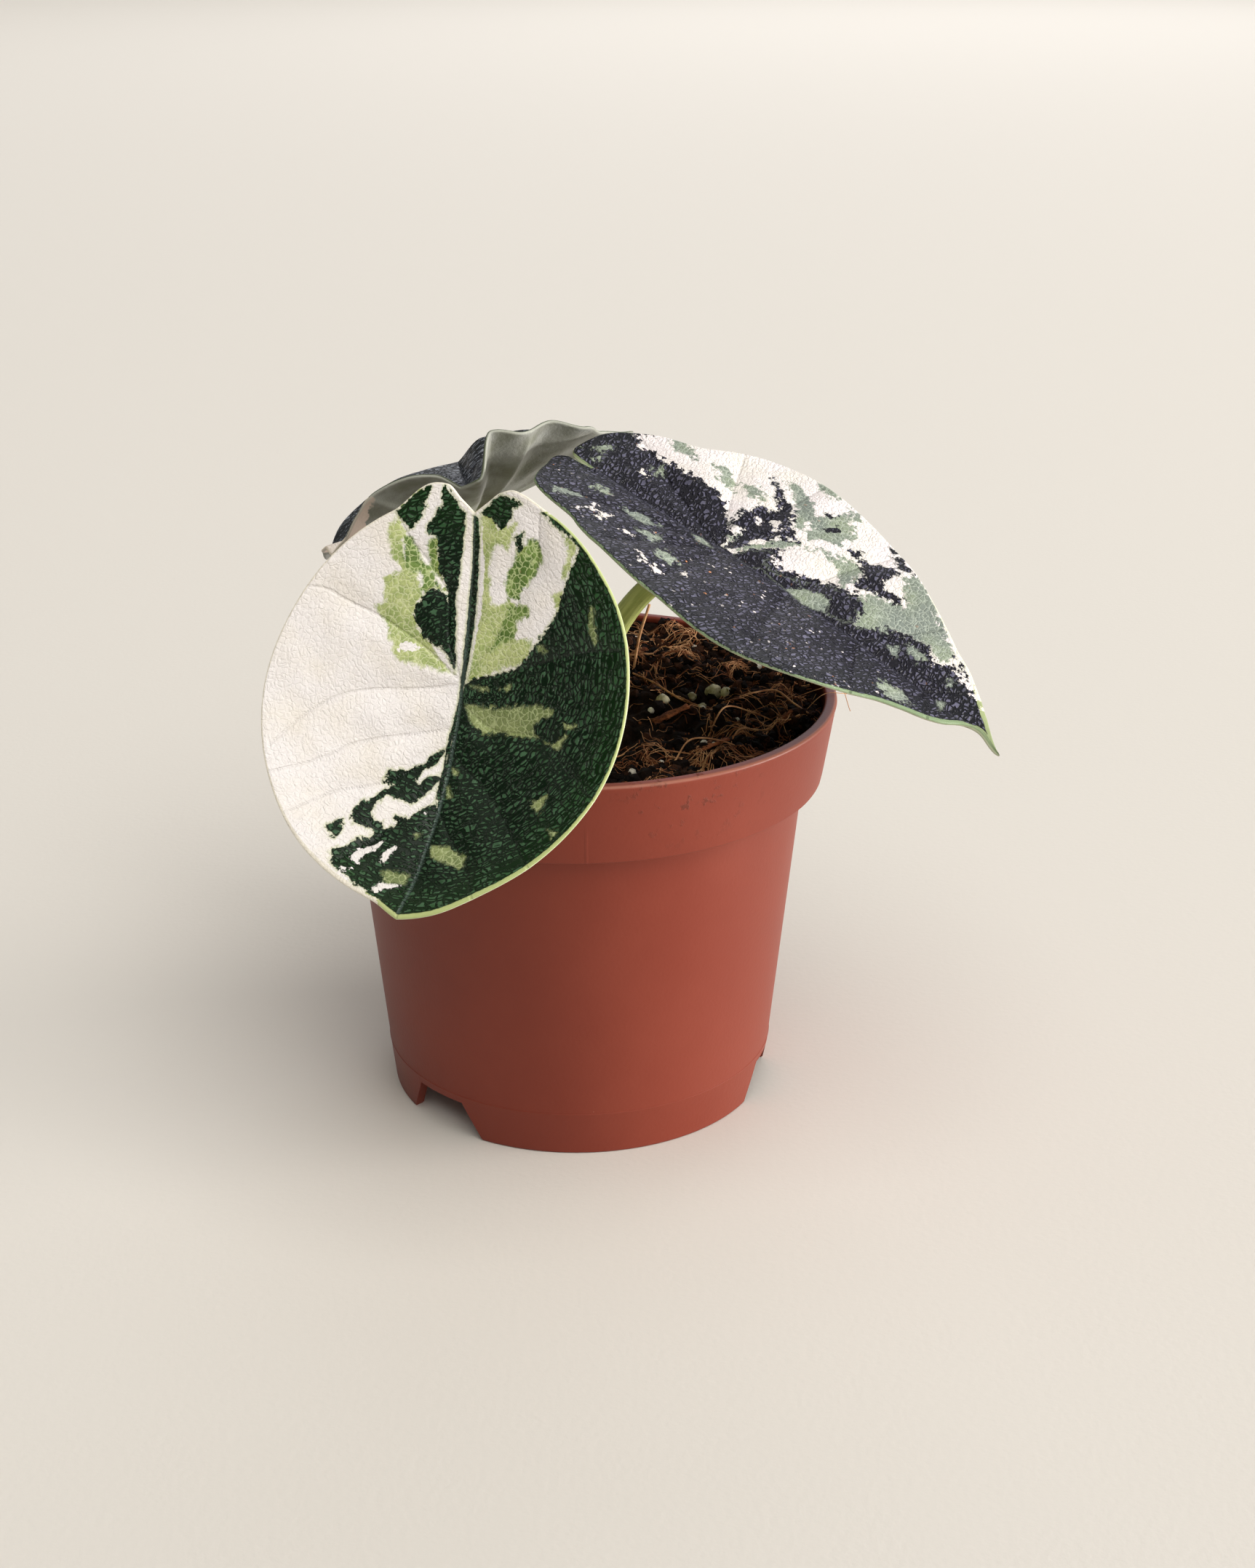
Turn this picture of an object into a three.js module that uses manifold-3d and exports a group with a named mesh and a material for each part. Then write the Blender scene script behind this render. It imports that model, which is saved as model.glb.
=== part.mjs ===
// Potted variegated alocasia melo: a 12 cm nursery pot, the soil in it, and a short crown
// with three peltate leaves on arching stalks. Millimetres, +Z up, the front faces -Y.
import * as THREE from 'three';
import { mergeVertices } from 'three/addons/utils/BufferGeometryUtils.js';
import Module from 'manifold-3d';

const wasm = await Module();
wasm.setup();

// Driving dimensions of the pot
const POT_HEIGHT = 96.5;
const RIM_RADIUS = 60;
const COLLAR_HEIGHT = 18.8;
const COLLAR_LOW_RADIUS = 57;
const WALL_TOP_RADIUS = 52.8;
const FOOT_RADIUS = 45;
const FOOT_BAND_HEIGHT = 11.3;
const FOOT_BAND_PROUD = 0.3;
const FOOT_RING_WIDTH = 2.6;
const WALL = 1.4;
const LIP_WIDTH = 2.8;
const LIP_HEIGHT = 1.8;
const LIP_ROUND = 0.7;
const LIP_BEVEL = 0.2;
const LIP_STEP = 0.8;
const SHOULDER_FILLET = 0.8;
const COLLAR_EDGE = 0.5;
const BASE_UNDERSIDE = 9.3;
const BASE_THICKNESS = 1.6;
const POT_SEGMENTS = 76;

// Driving dimensions of the three notches in the foot and of the drain holes
const NOTCH_COUNT = 3;
const NOTCH_FIRST_AZIMUTH = -134;
const NOTCH_HEIGHT = 9;
const NOTCH_TOP_WIDTH = 14;
const NOTCH_FOOT_WIDTH = 23.5;
const DRAIN_COUNT = 6;
const DRAIN_RADIUS = 3.5;
const DRAIN_RING_RADIUS = 27;
const DRAIN_SIDES = 16;

// Driving dimensions of the soil
const GAP = 0.3;
const SOIL_LEVEL = 92.2;
const SOIL_TILT = 0.045;
const SOIL_HOLLOW = { x: -6, y: -20, depth: 4.5, radius: 17 };
const SOIL_MOUND = { x: -2, y: 4, height: 1.6, radius: 20 };
const SOIL_LUMP = 0.9;
// Two waves that make the soil lumpy: how fast they turn along X and Y, and where they start
const SOIL_WAVE = { x: 0.31, y: 0.27, startX: 1.3, startY: 0.4 };
const SOIL_CROSS_WAVE = { x: 0.63, y: -0.55, start: 2, share: 0.6 };
const SOIL_ROWS = 10;
const SOIL_SECTORS = 48;
const GRIT_COUNT = 26;
const GRIT_SIZE = { least: 0.9, most: 1.9 };
const GRIT_FIELD = { nearest: 14, width: 38 };
const BEAD_RADIUS = 1.6;
const BEADS = [
  { x: 31.9, y: 10 },
  { x: 35, y: 8.8 },
  { x: 19.9, y: 2 },
  { x: 26.8, y: 6.6 },
  { x: 29, y: 1 },
];

// Driving dimensions of the crown: a round stem base with one sheath round each leaf stalk
const CROWN = { x: -2, y: 0.5, radius: 7, bottom: 70, shoulder: 90.5, top: 93.5 };
const CROWN_FOOT = { narrowing: 1.5, height: 3 };
const CROWN_DOME = { narrowing: 2, height: 0.8 };
const CROWN_SIDES = 28;
const SHEATH_LENGTH = 13;
const SHEATH_ROOT = 8;
const SHEATH_WALL = 0.9;
const SHEATH_SWELL = 0.5;
const SHEATH_STEPS = 6;

// Driving dimensions of the leaf stalks, thick at the crown and slim under the blade
const STALK_BASE_RADIUS = 3;
const STALK_TOP_RADIUS = 2.2;
const STALK_STEPS = 18;
const STALK_SIDES = 10;
const STALK_APPROACH = 2.5;

// Driving dimensions of the blades
const BLADE_THICKNESS = 0.9;
const BLADE_SECTORS = 60;
const BLADE_RINGS = [0.1, 0.22, 0.34, 0.46, 0.58, 0.69, 0.8, 0.9, 1];
const FOLD_SOFTNESS = 6;
const RIB_VALLEY_DEPTH = 0.75;
const RIB_VALLEY_WIDTH = 3;
// A narrow tip can sway sideways, most at this share of the blade's length
const TIP_SWAY_SHARE = 0.91;
const TIP_SWAY_WIDTH = 4;

// Lateral ribs of a blade 55 mm long from stalk to tip: where each leaves the midrib, its angle
// from the tip, and how far it bends towards the tip along its way
const RIBS = [
  { start: 0, angle: 156, bend: 6 },
  { start: 0, angle: 122, bend: 16 },
  { start: 0, angle: 90, bend: 20 },
  { start: 13, angle: 76, bend: 18 },
  { start: 27, angle: 66, bend: 16 },
  { start: 40, angle: 56, bend: 12 },
];
const RIB_REFERENCE_LENGTH = 55;
const RIB_LENGTH = 62;
const RIB_STEPS = 12;

// The blades. attach is the middle of the blade above the stalk, yaw and pitch point the midrib
// (pitch down), roll turns the blade about it, fold lifts both halves, and the three curls are
// curvatures per mm: across the blade, along the tip half and along the lobe half. tipSway moves
// the narrow tip to the right.
// angles run from the tip (0) to the notch between the lobes (180). right and left are the
// blade's reach at those angles, and the waves lift its rim there.
const LEAF_FRONT = {
  attach: [-22.4, -54, 118.9],
  yaw: -104,
  pitch: 67.3,
  roll: -11,
  fold: 7.3,
  sideCurl: -0.0036,
  tipCurl: -0.013,
  lobeCurl: -0.0024,
  tipSway: 0,
  angles: [0, 8, 18, 34, 56, 82, 108, 132, 152, 166, 171, 175, 180],
  right: [54.5, 51.5, 50.5, 49, 46, 43, 40, 38.5, 38, 41, 40.2, 37, 34],
  left: [54.5, 53.5, 51, 48, 45, 42, 40.5, 39, 39, 40, 38.7, 36.5, 34],
  rightWave: [0, 0, 0, 0, 0.5, 0, -0.5, 0, 0.6, 0, 0, 0, 0],
  leftWave: [0, 0, 0, -0.5, 0, 0.6, 0, -0.6, 0, 0.5, 0.3, 0, 0],
  // The stalk's way from the crown to the blade
  stalk: [[-3.4, -3.9, 88.3], [-6.5, -13, 104], [-13, -30, 116.5], [-19, -45, 119.5]],
};
const LEAF_RIGHT = {
  attach: [32, -18.3, 136.3],
  yaw: -34.8,
  pitch: 20.5,
  roll: -4.5,
  fold: 14.3,
  sideCurl: 0.0049,
  tipCurl: 0.0025,
  lobeCurl: 0.0007,
  tipSway: -2.4,
  angles: [0, 0.6, 2, 4, 8, 12, 18, 34, 56, 82, 108, 132, 152, 166, 175, 178.5, 180],
  right: [77, 68.5, 66.3, 65, 61.5, 57.8, 54.2, 50.5, 43, 35, 33, 34, 43, 43.5, 44.5, 43, 36.5],
  left: [77, 75, 71.2, 68.8, 65.6, 61.6, 55.8, 45.5, 39.5, 36, 36.5, 34.5, 41.5, 45, 44.5, 43, 36.5],
  rightWave: [0, 0, 0, 0, 0, 0, 0, 0.8, -0.6, 0, 0.5, -0.5, 0.4, 0, 0, 0, 0],
  leftWave: [0, 0, 0, 0, 0, 0, -0.6, 0.6, -0.6, 0.6, -0.4, 0.4, 0, 0, 0, 0, 0],
  stalk: [[2.3, 0.6, 88.3], [5, -2.5, 102], [10.7, -8, 116.9], [18.5, -12.5, 126.8], [27.3, -16.4, 131.4]],
};
const LEAF_BACK = {
  attach: [-25.7, 33, 131.2],
  yaw: 92.5,
  pitch: 16,
  roll: 19.5,
  fold: 6,
  sideCurl: 0.0008,
  tipCurl: -0.0069,
  lobeCurl: -0.0088,
  tipSway: 0,
  angles: [0, 8, 18, 40, 62, 84, 104, 120, 134, 146, 156, 166, 174, 180],
  right: [61.5, 58.5, 55.5, 49, 45, 43, 41.5, 40, 43.5, 42.5, 43.5, 44.5, 44, 36.5],
  left: [61.5, 58.5, 55, 49.5, 43, 37.5, 36.5, 38.5, 41, 43, 45, 44, 41.5, 36.5],
  rightWave: [0, 5, 4.5, 1, 0, 0, 0, 1, 1, 4.4, 2.8, 5, -4.8, -1.8],
  leftWave: [0, 2, 3.5, 1, -3.5, -0.5, -0.5, -3.8, -3.8, -1, 1, 1.8, 1, -1.8],
  stalk: [[-4.6, 4, 88.3], [-9.5, 9, 102], [-16.5, 18, 116], [-22.6, 28, 124.4]],
};

const RADIANS = Math.PI / 180;

// Materials
function finish(color, roughness) {
  return new THREE.MeshStandardMaterial({ color, roughness, metalness: 0 });
}
const TERRACOTTA_PLASTIC = finish(0xa4553f, 0.45);
const PEAT = finish(0x3a2a20, 0.95);
const CROWN_GREEN = finish(0x7c8a4e, 0.6);
const STALK_GREEN = finish(0x8f9a58, 0.5);
const FRONT_BLADE = finish(0xd9d6b8, 0.5);
const RIGHT_BLADE = finish(0x56586a, 0.5);
const BACK_BLADE = finish(0x6f7263, 0.6);

// Closed meshes and solids
function geometryFrom(points, faces) {
  const geometry = new THREE.BufferGeometry();
  const numbers = points.flatMap((point) => point.toArray());
  geometry.setAttribute('position', new THREE.Float32BufferAttribute(numbers, 3));
  geometry.setIndex(faces.flat());
  return geometry;
}

function solidFrom(geometry) {
  const bare = geometry.clone();
  bare.deleteAttribute('normal');
  bare.deleteAttribute('uv');
  const merged = mergeVertices(bare, 1e-4);
  return new wasm.Manifold(new wasm.Mesh({
    numProp: 3,
    vertProperties: new Float32Array(merged.attributes.position.array),
    triVerts: new Uint32Array(merged.index.array),
  }));
}

function geometryOf(solid) {
  const mesh = solid.getMesh();
  const geometry = new THREE.BufferGeometry();
  geometry.setAttribute('position', new THREE.BufferAttribute(mesh.vertProperties, 3));
  geometry.setIndex(new THREE.BufferAttribute(mesh.triVerts, 1));
  return geometry;
}

// The largest body of a cut solid, without the loose scraps that a cut can leave
function largestPart(solid) {
  return solid.decompose().reduce((best, part) => (part.volume() > best.volume() ? part : best));
}

// A closed skin of rings, each with the same number of corners, between two end points.
// The rings run from the first point to the last and turn anticlockwise seen from the last.
function ringedSkin(first, rings, last) {
  const points = [first, ...rings.flat(), last];
  const columns = rings[0].length;
  const end = points.length - 1;
  const faces = [];
  for (let column = 0; column < columns; column += 1) {
    const next = (column + 1) % columns;
    faces.push([0, 1 + next, 1 + column]);
    for (let row = 0; row + 1 < rings.length; row += 1) {
      const low = 1 + row * columns;
      const high = low + columns;
      faces.push([low + column, low + next, high + next]);
      faces.push([low + column, high + next, high + column]);
    }
    faces.push([end, end - columns + column, end - columns + next]);
  }
  return geometryFrom(points, faces);
}

// A smooth curve through a value at each station, with no overshoot between two stations
function smoothThrough(stations, values) {
  const last = stations.length - 1;
  const slopes = values.slice(1).map((value, i) => (value - values[i]) / (stations[i + 1] - stations[i]));
  const tangents = values.map((value, i) => {
    const before = slopes[Math.max(i - 1, 0)];
    const after = slopes[Math.min(i, last - 1)];
    return before * after <= 0 ? 0 : (2 * before * after) / (before + after);
  });
  return (station) => {
    const above = stations.findIndex((limit) => limit > station);
    const low = above < 0 ? last - 1 : Math.max(above - 1, 0);
    const width = stations[low + 1] - stations[low];
    const t = (station - stations[low]) / width;
    const rise = t * t * (3 - 2 * t);
    return values[low] * (1 - rise) + values[low + 1] * rise
      + width * (tangents[low] * t * (1 - t) ** 2 - tangents[low + 1] * t * t * (1 - t));
  };
}

// Random numbers from 0 to 1 that are the same in every run
function seededRandom(seed) {
  let state = seed;
  return () => {
    state = (state * 1664525 + 1013904223) % 4294967296;
    return state / 4294967296;
  };
}

// The pot: one turned shell with notches in its foot ring and drain holes in its base
const SHOULDER = POT_HEIGHT - COLLAR_HEIGHT;

function wallRadius(z) {
  return FOOT_RADIUS + ((WALL_TOP_RADIUS - FOOT_RADIUS) * z) / SHOULDER;
}

function collarRadius(z) {
  return COLLAR_LOW_RADIUS + ((RIM_RADIUS - COLLAR_LOW_RADIUS) * (z - SHOULDER)) / COLLAR_HEIGHT;
}

function potProfile() {
  const baseTop = BASE_UNDERSIDE + BASE_THICKNESS;
  const lipFloor = POT_HEIGHT - LIP_HEIGHT;
  const points = [
    [0, BASE_UNDERSIDE],
    [wallRadius(BASE_UNDERSIDE) - FOOT_RING_WIDTH, BASE_UNDERSIDE],
    [FOOT_RADIUS - FOOT_RING_WIDTH, 0],
    [FOOT_RADIUS, 0],
    [wallRadius(FOOT_BAND_HEIGHT) + FOOT_BAND_PROUD, FOOT_BAND_HEIGHT - FOOT_BAND_PROUD],
    [wallRadius(FOOT_BAND_HEIGHT), FOOT_BAND_HEIGHT],
    [WALL_TOP_RADIUS, SHOULDER - SHOULDER_FILLET],
    [WALL_TOP_RADIUS + SHOULDER_FILLET, SHOULDER],
    [COLLAR_LOW_RADIUS - COLLAR_EDGE, SHOULDER],
    [COLLAR_LOW_RADIUS, SHOULDER + COLLAR_EDGE],
    [RIM_RADIUS, POT_HEIGHT - LIP_ROUND],
    [RIM_RADIUS - LIP_BEVEL, POT_HEIGHT - LIP_BEVEL],
    [RIM_RADIUS - LIP_ROUND, POT_HEIGHT],
    [RIM_RADIUS - LIP_WIDTH + LIP_ROUND, POT_HEIGHT],
    [RIM_RADIUS - LIP_WIDTH + LIP_BEVEL, POT_HEIGHT - LIP_BEVEL],
    [RIM_RADIUS - LIP_WIDTH, POT_HEIGHT - LIP_ROUND],
    [RIM_RADIUS - LIP_WIDTH, lipFloor + LIP_STEP / 2],
    [innerRadius(lipFloor - LIP_STEP), lipFloor - LIP_STEP],
    [innerRadius(SHOULDER + WALL), SHOULDER + WALL],
    [innerRadius(SHOULDER - WALL), SHOULDER - WALL],
    [wallRadius(baseTop) - WALL, baseTop],
    [0, baseTop],
  ];
  return points.map(([radius, z]) => new THREE.Vector2(radius, z));
}

// The pot's inside, which steps in at the shoulder
function innerRadius(z) {
  if (z >= SHOULDER + WALL) return collarRadius(z) - WALL;
  if (z <= SHOULDER - WALL) return wallRadius(z) - WALL;
  const share = (z - SHOULDER + WALL) / (2 * WALL);
  const low = wallRadius(SHOULDER - WALL) - WALL;
  const high = collarRadius(SHOULDER + WALL) - WALL;
  return low + (high - low) * share;
}

function notchCutter(azimuth) {
  const below = -1;
  const slope = (NOTCH_FOOT_WIDTH - NOTCH_TOP_WIDTH) / 2 / NOTCH_HEIGHT;
  const outline = new THREE.Shape([
    new THREE.Vector2(-NOTCH_FOOT_WIDTH / 2 + slope * below, below),
    new THREE.Vector2(NOTCH_FOOT_WIDTH / 2 - slope * below, below),
    new THREE.Vector2(NOTCH_TOP_WIDTH / 2, NOTCH_HEIGHT),
    new THREE.Vector2(-NOTCH_TOP_WIDTH / 2, NOTCH_HEIGHT),
  ]);
  const geometry = new THREE.ExtrudeGeometry(outline, { depth: FOOT_RADIUS, bevelEnabled: false });
  geometry.rotateX(Math.PI / 2);
  geometry.translate(0, -FOOT_RADIUS / 2, 0);
  geometry.rotateZ((azimuth + 90) * RADIANS);
  return solidFrom(geometry);
}

function drainCutter(x, y) {
  const geometry = new THREE.CylinderGeometry(DRAIN_RADIUS, DRAIN_RADIUS, 4 * BASE_THICKNESS, DRAIN_SIDES);
  geometry.rotateX(Math.PI / 2);
  geometry.translate(x, y, BASE_UNDERSIDE + BASE_THICKNESS / 2);
  return solidFrom(geometry);
}

function turned(profile, segments) {
  const geometry = new THREE.LatheGeometry(profile, segments);
  geometry.rotateX(Math.PI / 2);
  return solidFrom(geometry);
}

function potGeometry() {
  let pot = turned(potProfile(), POT_SEGMENTS);
  for (let notch = 0; notch < NOTCH_COUNT; notch += 1) {
    pot = pot.subtract(notchCutter(NOTCH_FIRST_AZIMUTH + (notch * 360) / NOTCH_COUNT));
  }
  pot = pot.subtract(drainCutter(0, 0));
  for (let hole = 0; hole < DRAIN_COUNT; hole += 1) {
    const angle = (hole * 2 * Math.PI) / DRAIN_COUNT;
    pot = pot.subtract(drainCutter(DRAIN_RING_RADIUS * Math.cos(angle), DRAIN_RING_RADIUS * Math.sin(angle)));
  }
  return geometryOf(pot);
}

// The soil: level at the front, banked at the back, with a hollow in front of the crown
function bell(x, y, spot) {
  return Math.exp(-((x - spot.x) ** 2 + (y - spot.y) ** 2) / spot.radius ** 2);
}

function soilHeight(x, y) {
  const wave = SOIL_WAVE;
  const cross = SOIL_CROSS_WAVE;
  const lumps = Math.sin(x * wave.x + wave.startX) * Math.sin(y * wave.y + wave.startY)
    + cross.share * Math.sin(x * cross.x + y * cross.y + cross.start);
  return SOIL_LEVEL + SOIL_TILT * y + SOIL_LUMP * lumps
    - SOIL_HOLLOW.depth * bell(x, y, SOIL_HOLLOW) + SOIL_MOUND.height * bell(x, y, SOIL_MOUND);
}

function ringOf(count, pointAt) {
  return Array.from({ length: count }, (unused, i) => pointAt((i * 2 * Math.PI) / count));
}

function levelRing(radius, z) {
  return ringOf(SOIL_SECTORS, (angle) => {
    return new THREE.Vector3(radius * Math.cos(angle), radius * Math.sin(angle), z);
  });
}

function soilTopRing(share) {
  const nominal = innerRadius(SOIL_LEVEL) - GAP;
  return ringOf(SOIL_SECTORS, (angle) => {
    const x = Math.cos(angle);
    const y = Math.sin(angle);
    const edgeHeight = soilHeight(nominal * x, nominal * y);
    const reach = share * (Math.min(innerRadius(edgeHeight), RIM_RADIUS - LIP_WIDTH) - 2 * GAP);
    return new THREE.Vector3(reach * x, reach * y, soilHeight(reach * x, reach * y));
  });
}

function soilSolid() {
  const bottom = BASE_UNDERSIDE + BASE_THICKNESS + GAP;
  const walls = [bottom, SHOULDER - WALL, SHOULDER + WALL].map((z) => levelRing(innerRadius(z) - 2 * GAP, z));
  const tops = [];
  for (let row = SOIL_ROWS; row > 0; row -= 1) tops.push(soilTopRing(row / SOIL_ROWS));
  const middle = new THREE.Vector3(0, 0, soilHeight(0, 0));
  return solidFrom(ringedSkin(new THREE.Vector3(0, 0, bottom), [...walls, ...tops], middle));
}

// Grit and fertiliser beads sit in the soil's surface, sunk by about a third
function grain(x, y, radius) {
  const geometry = new THREE.IcosahedronGeometry(radius);
  geometry.translate(x, y, soilHeight(x, y) + radius / 3);
  return solidFrom(geometry);
}

function grains() {
  const random = seededRandom(12);
  const list = BEADS.map(({ x, y }) => grain(x, y, BEAD_RADIUS));
  for (let i = 0; i < GRIT_COUNT; i += 1) {
    const angle = 2 * Math.PI * random();
    const distance = GRIT_FIELD.nearest + GRIT_FIELD.width * Math.sqrt(random());
    const radius = GRIT_SIZE.least + (GRIT_SIZE.most - GRIT_SIZE.least) * random();
    list.push(grain(distance * Math.cos(angle), distance * Math.sin(angle), radius));
  }
  return list;
}

// The crown and its sheaths stand in a hole in the soil, a gap wider than they are
function soilGeometry(leaves) {
  const depth = 2 * (SOIL_LEVEL - CROWN.bottom);
  const hole = new THREE.CylinderGeometry(CROWN.radius + GAP, CROWN.radius + GAP, depth, CROWN_SIDES);
  hole.rotateX(Math.PI / 2);
  hole.translate(CROWN.x, CROWN.y, CROWN.bottom - GAP + depth / 2);
  const planted = wasm.Manifold.union([soilSolid(), ...grains()]);
  const cleared = wasm.Manifold.union([
    solidFrom(hole),
    ...leaves.map((leaf) => sheathSolid(leaf, GAP)),
    ...leaves.map((leaf) => stalkSolid(leaf, GAP)),
  ]);
  return geometryOf(largestPart(planted.subtract(cleared)));
}

// A leaf's own directions: along its midrib, across it to the right, and out of its upper face
function leafFrame(leaf) {
  const yaw = leaf.yaw * RADIANS;
  const pitch = leaf.pitch * RADIANS;
  const along = new THREE.Vector3(
    Math.cos(yaw) * Math.cos(pitch),
    Math.sin(yaw) * Math.cos(pitch),
    -Math.sin(pitch),
  );
  const level = new THREE.Vector3(Math.sin(yaw), -Math.cos(yaw), 0);
  const up = new THREE.Vector3().crossVectors(level, along);
  const roll = leaf.roll * RADIANS;
  const across = level.multiplyScalar(Math.cos(roll)).addScaledVector(up, Math.sin(roll));
  return { along, across, out: new THREE.Vector3().crossVectors(across, along) };
}

// Lateral ribs as rows of points in the flat blade, on its right half
function ribPoints(reach) {
  const scale = reach / RIB_REFERENCE_LENGTH;
  return RIBS.map((rib) => {
    const points = [new THREE.Vector2(rib.start * scale, 0)];
    for (let step = 1; step <= RIB_STEPS; step += 1) {
      const angle = (rib.angle - (rib.bend * step) / RIB_STEPS) * RADIANS;
      const stride = new THREE.Vector2(Math.cos(angle), Math.sin(angle));
      stride.multiplyScalar((RIB_LENGTH * scale) / RIB_STEPS);
      points.push(stride.add(points[points.length - 1]));
    }
    return points;
  });
}

function distanceToLine(point, line) {
  let nearest = Infinity;
  for (let i = 0; i + 1 < line.length; i += 1) {
    const step = line[i + 1].clone().sub(line[i]);
    const share = THREE.MathUtils.clamp(point.clone().sub(line[i]).dot(step) / step.lengthSq(), 0, 1);
    nearest = Math.min(nearest, line[i].clone().addScaledVector(step, share).distanceTo(point));
  }
  return nearest;
}

// The blade swells between its ribs, and lies lower along each rib and the midrib
function ribRelief(along, across, ribs) {
  const point = new THREE.Vector2(along, Math.abs(across));
  const nearest = Math.min(point.y, ...ribs.map((rib) => distanceToLine(point, rib)));
  return -RIB_VALLEY_DEPTH * Math.exp(-((nearest / RIB_VALLEY_WIDTH) ** 2));
}

// A point of the blade's middle surface. angle runs once round the leaf: 0 at the tip, then the
// right half, 180 at the notch, then the left half. share runs from the stalk (0) to the rim (1).
function bladePoint(leaf, frame, curves, ribs, angle, share) {
  const onRight = angle <= 180;
  const turn = onRight ? angle : 360 - angle;
  const reach = (onRight ? curves.right : curves.left)(turn) * share;
  const wave = (onRight ? curves.rightWave : curves.leftWave)(turn) * share * share;
  const u = reach * Math.cos(turn * RADIANS);
  const v = reach * Math.sin(turn * RADIANS) * (onRight ? 1 : -1);
  const curl = u > 0 ? leaf.tipCurl : leaf.lobeCurl;
  const bend = curl * u;
  const fold = Math.tan(leaf.fold * RADIANS) * (Math.hypot(v, FOLD_SOFTNESS) - FOLD_SOFTNESS);
  const lift = fold - (leaf.sideCurl * v * v) / 2 + wave + ribRelief(u, v, ribs) * (1 - share ** 6);
  const sway = leaf.tipSway * Math.exp(-(((u - TIP_SWAY_SHARE * leaf.right[0]) / TIP_SWAY_WIDTH) ** 2));
  return new THREE.Vector3(...leaf.attach)
    .addScaledVector(frame.along, Math.sin(bend) / curl + lift * Math.sin(bend))
    .addScaledVector(frame.across, v + sway)
    .addScaledVector(frame.out, -(1 - Math.cos(bend)) / curl + lift * Math.cos(bend));
}

// Angles that divide a half blade's rim evenly, so that its tip and lobes keep their shape
function evenAngles(curve, count) {
  const fine = 720;
  const rim = Array.from({ length: fine + 1 }, (unused, i) => {
    const angle = (180 * i) / fine;
    const direction = new THREE.Vector2(Math.cos(angle * RADIANS), Math.sin(angle * RADIANS));
    return direction.multiplyScalar(curve(angle));
  });
  const lengths = [0];
  for (let i = 1; i <= fine; i += 1) lengths.push(lengths[i - 1] + rim[i].distanceTo(rim[i - 1]));
  return Array.from({ length: count }, (unused, i) => {
    const target = (lengths[fine] * i) / count;
    return (180 * lengths.findIndex((length) => length >= target)) / fine;
  });
}

// A blade of even thickness: the middle surface pushed out to both sides along its normals, with
// the same triangles on both faces and a band round the rim
function bladeGeometry(leaf, thickness) {
  const frame = leafFrame(leaf);
  const ribs = ribPoints(leaf.right[0]);
  const curves = {};
  for (const name of ['right', 'left', 'rightWave', 'leftWave']) {
    curves[name] = smoothThrough(leaf.angles, leaf[name]);
  }
  const half = BLADE_SECTORS / 2;
  const angles = [
    ...evenAngles(curves.right, half),
    180,
    ...evenAngles(curves.left, half).slice(1).map((angle) => 360 - angle).reverse(),
  ];
  const pointAt = (angle, share) => bladePoint(leaf, frame, curves, ribs, angle, share);
  const rings = BLADE_RINGS.map((share) => angles.map((angle) => pointAt(angle, share)));
  const middle = pointAt(0, 0);
  const sheetPoints = [middle, ...rings.flat()];
  const sheetFaces = [];
  const columns = angles.length;
  for (let column = 0; column < columns; column += 1) {
    const next = (column + 1) % columns;
    sheetFaces.push([0, 1 + next, 1 + column]);
    for (let row = 0; row + 1 < rings.length; row += 1) {
      const inner = 1 + row * columns;
      const outer = inner + columns;
      sheetFaces.push([inner + column, outer + next, outer + column]);
      sheetFaces.push([inner + column, inner + next, outer + next]);
    }
  }
  const sheet = geometryFrom(sheetPoints, sheetFaces);
  sheet.computeVertexNormals();
  const normals = sheetPoints.map((point, i) => {
    return new THREE.Vector3().fromBufferAttribute(sheet.attributes.normal, i);
  });
  const upper = sheetPoints.map((point, i) => point.clone().addScaledVector(normals[i], thickness / 2));
  const lower = sheetPoints.map((point, i) => point.clone().addScaledVector(normals[i], -thickness / 2));
  const count = sheetPoints.length;
  const faces = [...sheetFaces, ...sheetFaces.map(([a, b, c]) => [count + a, count + c, count + b])];
  const rim = count - columns;
  for (let column = 0; column < columns; column += 1) {
    const here = rim + column;
    const next = rim + ((column + 1) % columns);
    faces.push([here, next, count + next]);
    faces.push([here, count + next, count + here]);
  }
  return geometryFrom([...upper, ...lower], faces);
}

// A leaf stalk: a round rod that tapers along its way and ends square under the blade
function stalkEnd(leaf) {
  const out = leafFrame(leaf).out;
  const clearance = BLADE_THICKNESS / 2 + RIB_VALLEY_DEPTH + GAP;
  return new THREE.Vector3(...leaf.attach).addScaledVector(out, -clearance);
}

function stalkCurve(leaf) {
  const end = stalkEnd(leaf);
  const approach = end.clone().addScaledVector(leafFrame(leaf).out, -STALK_APPROACH);
  const points = leaf.stalk.map((point) => new THREE.Vector3(...point));
  return new THREE.CatmullRomCurve3([...points, approach, end], false, 'centripetal');
}

// A round rod along a curve, made larger all round and at both ends by the extra
function rodSolid(curve, steps, radiusAt, extra) {
  const frames = curve.computeFrenetFrames(steps, false);
  const centres = [];
  const rings = [];
  for (let step = 0; step <= steps; step += 1) {
    const lengthening = (step === 0 ? -extra : 0) + (step === steps ? extra : 0);
    const centre = curve.getPointAt(step / steps).addScaledVector(frames.tangents[step], lengthening);
    const radius = radiusAt(step / steps) + extra;
    centres.push(centre);
    rings.push(ringOf(STALK_SIDES, (angle) => centre.clone()
      .addScaledVector(frames.normals[step], radius * Math.cos(angle))
      .addScaledVector(frames.binormals[step], radius * Math.sin(angle))));
  }
  return solidFrom(ringedSkin(centres[0], rings, centres[steps]));
}

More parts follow.
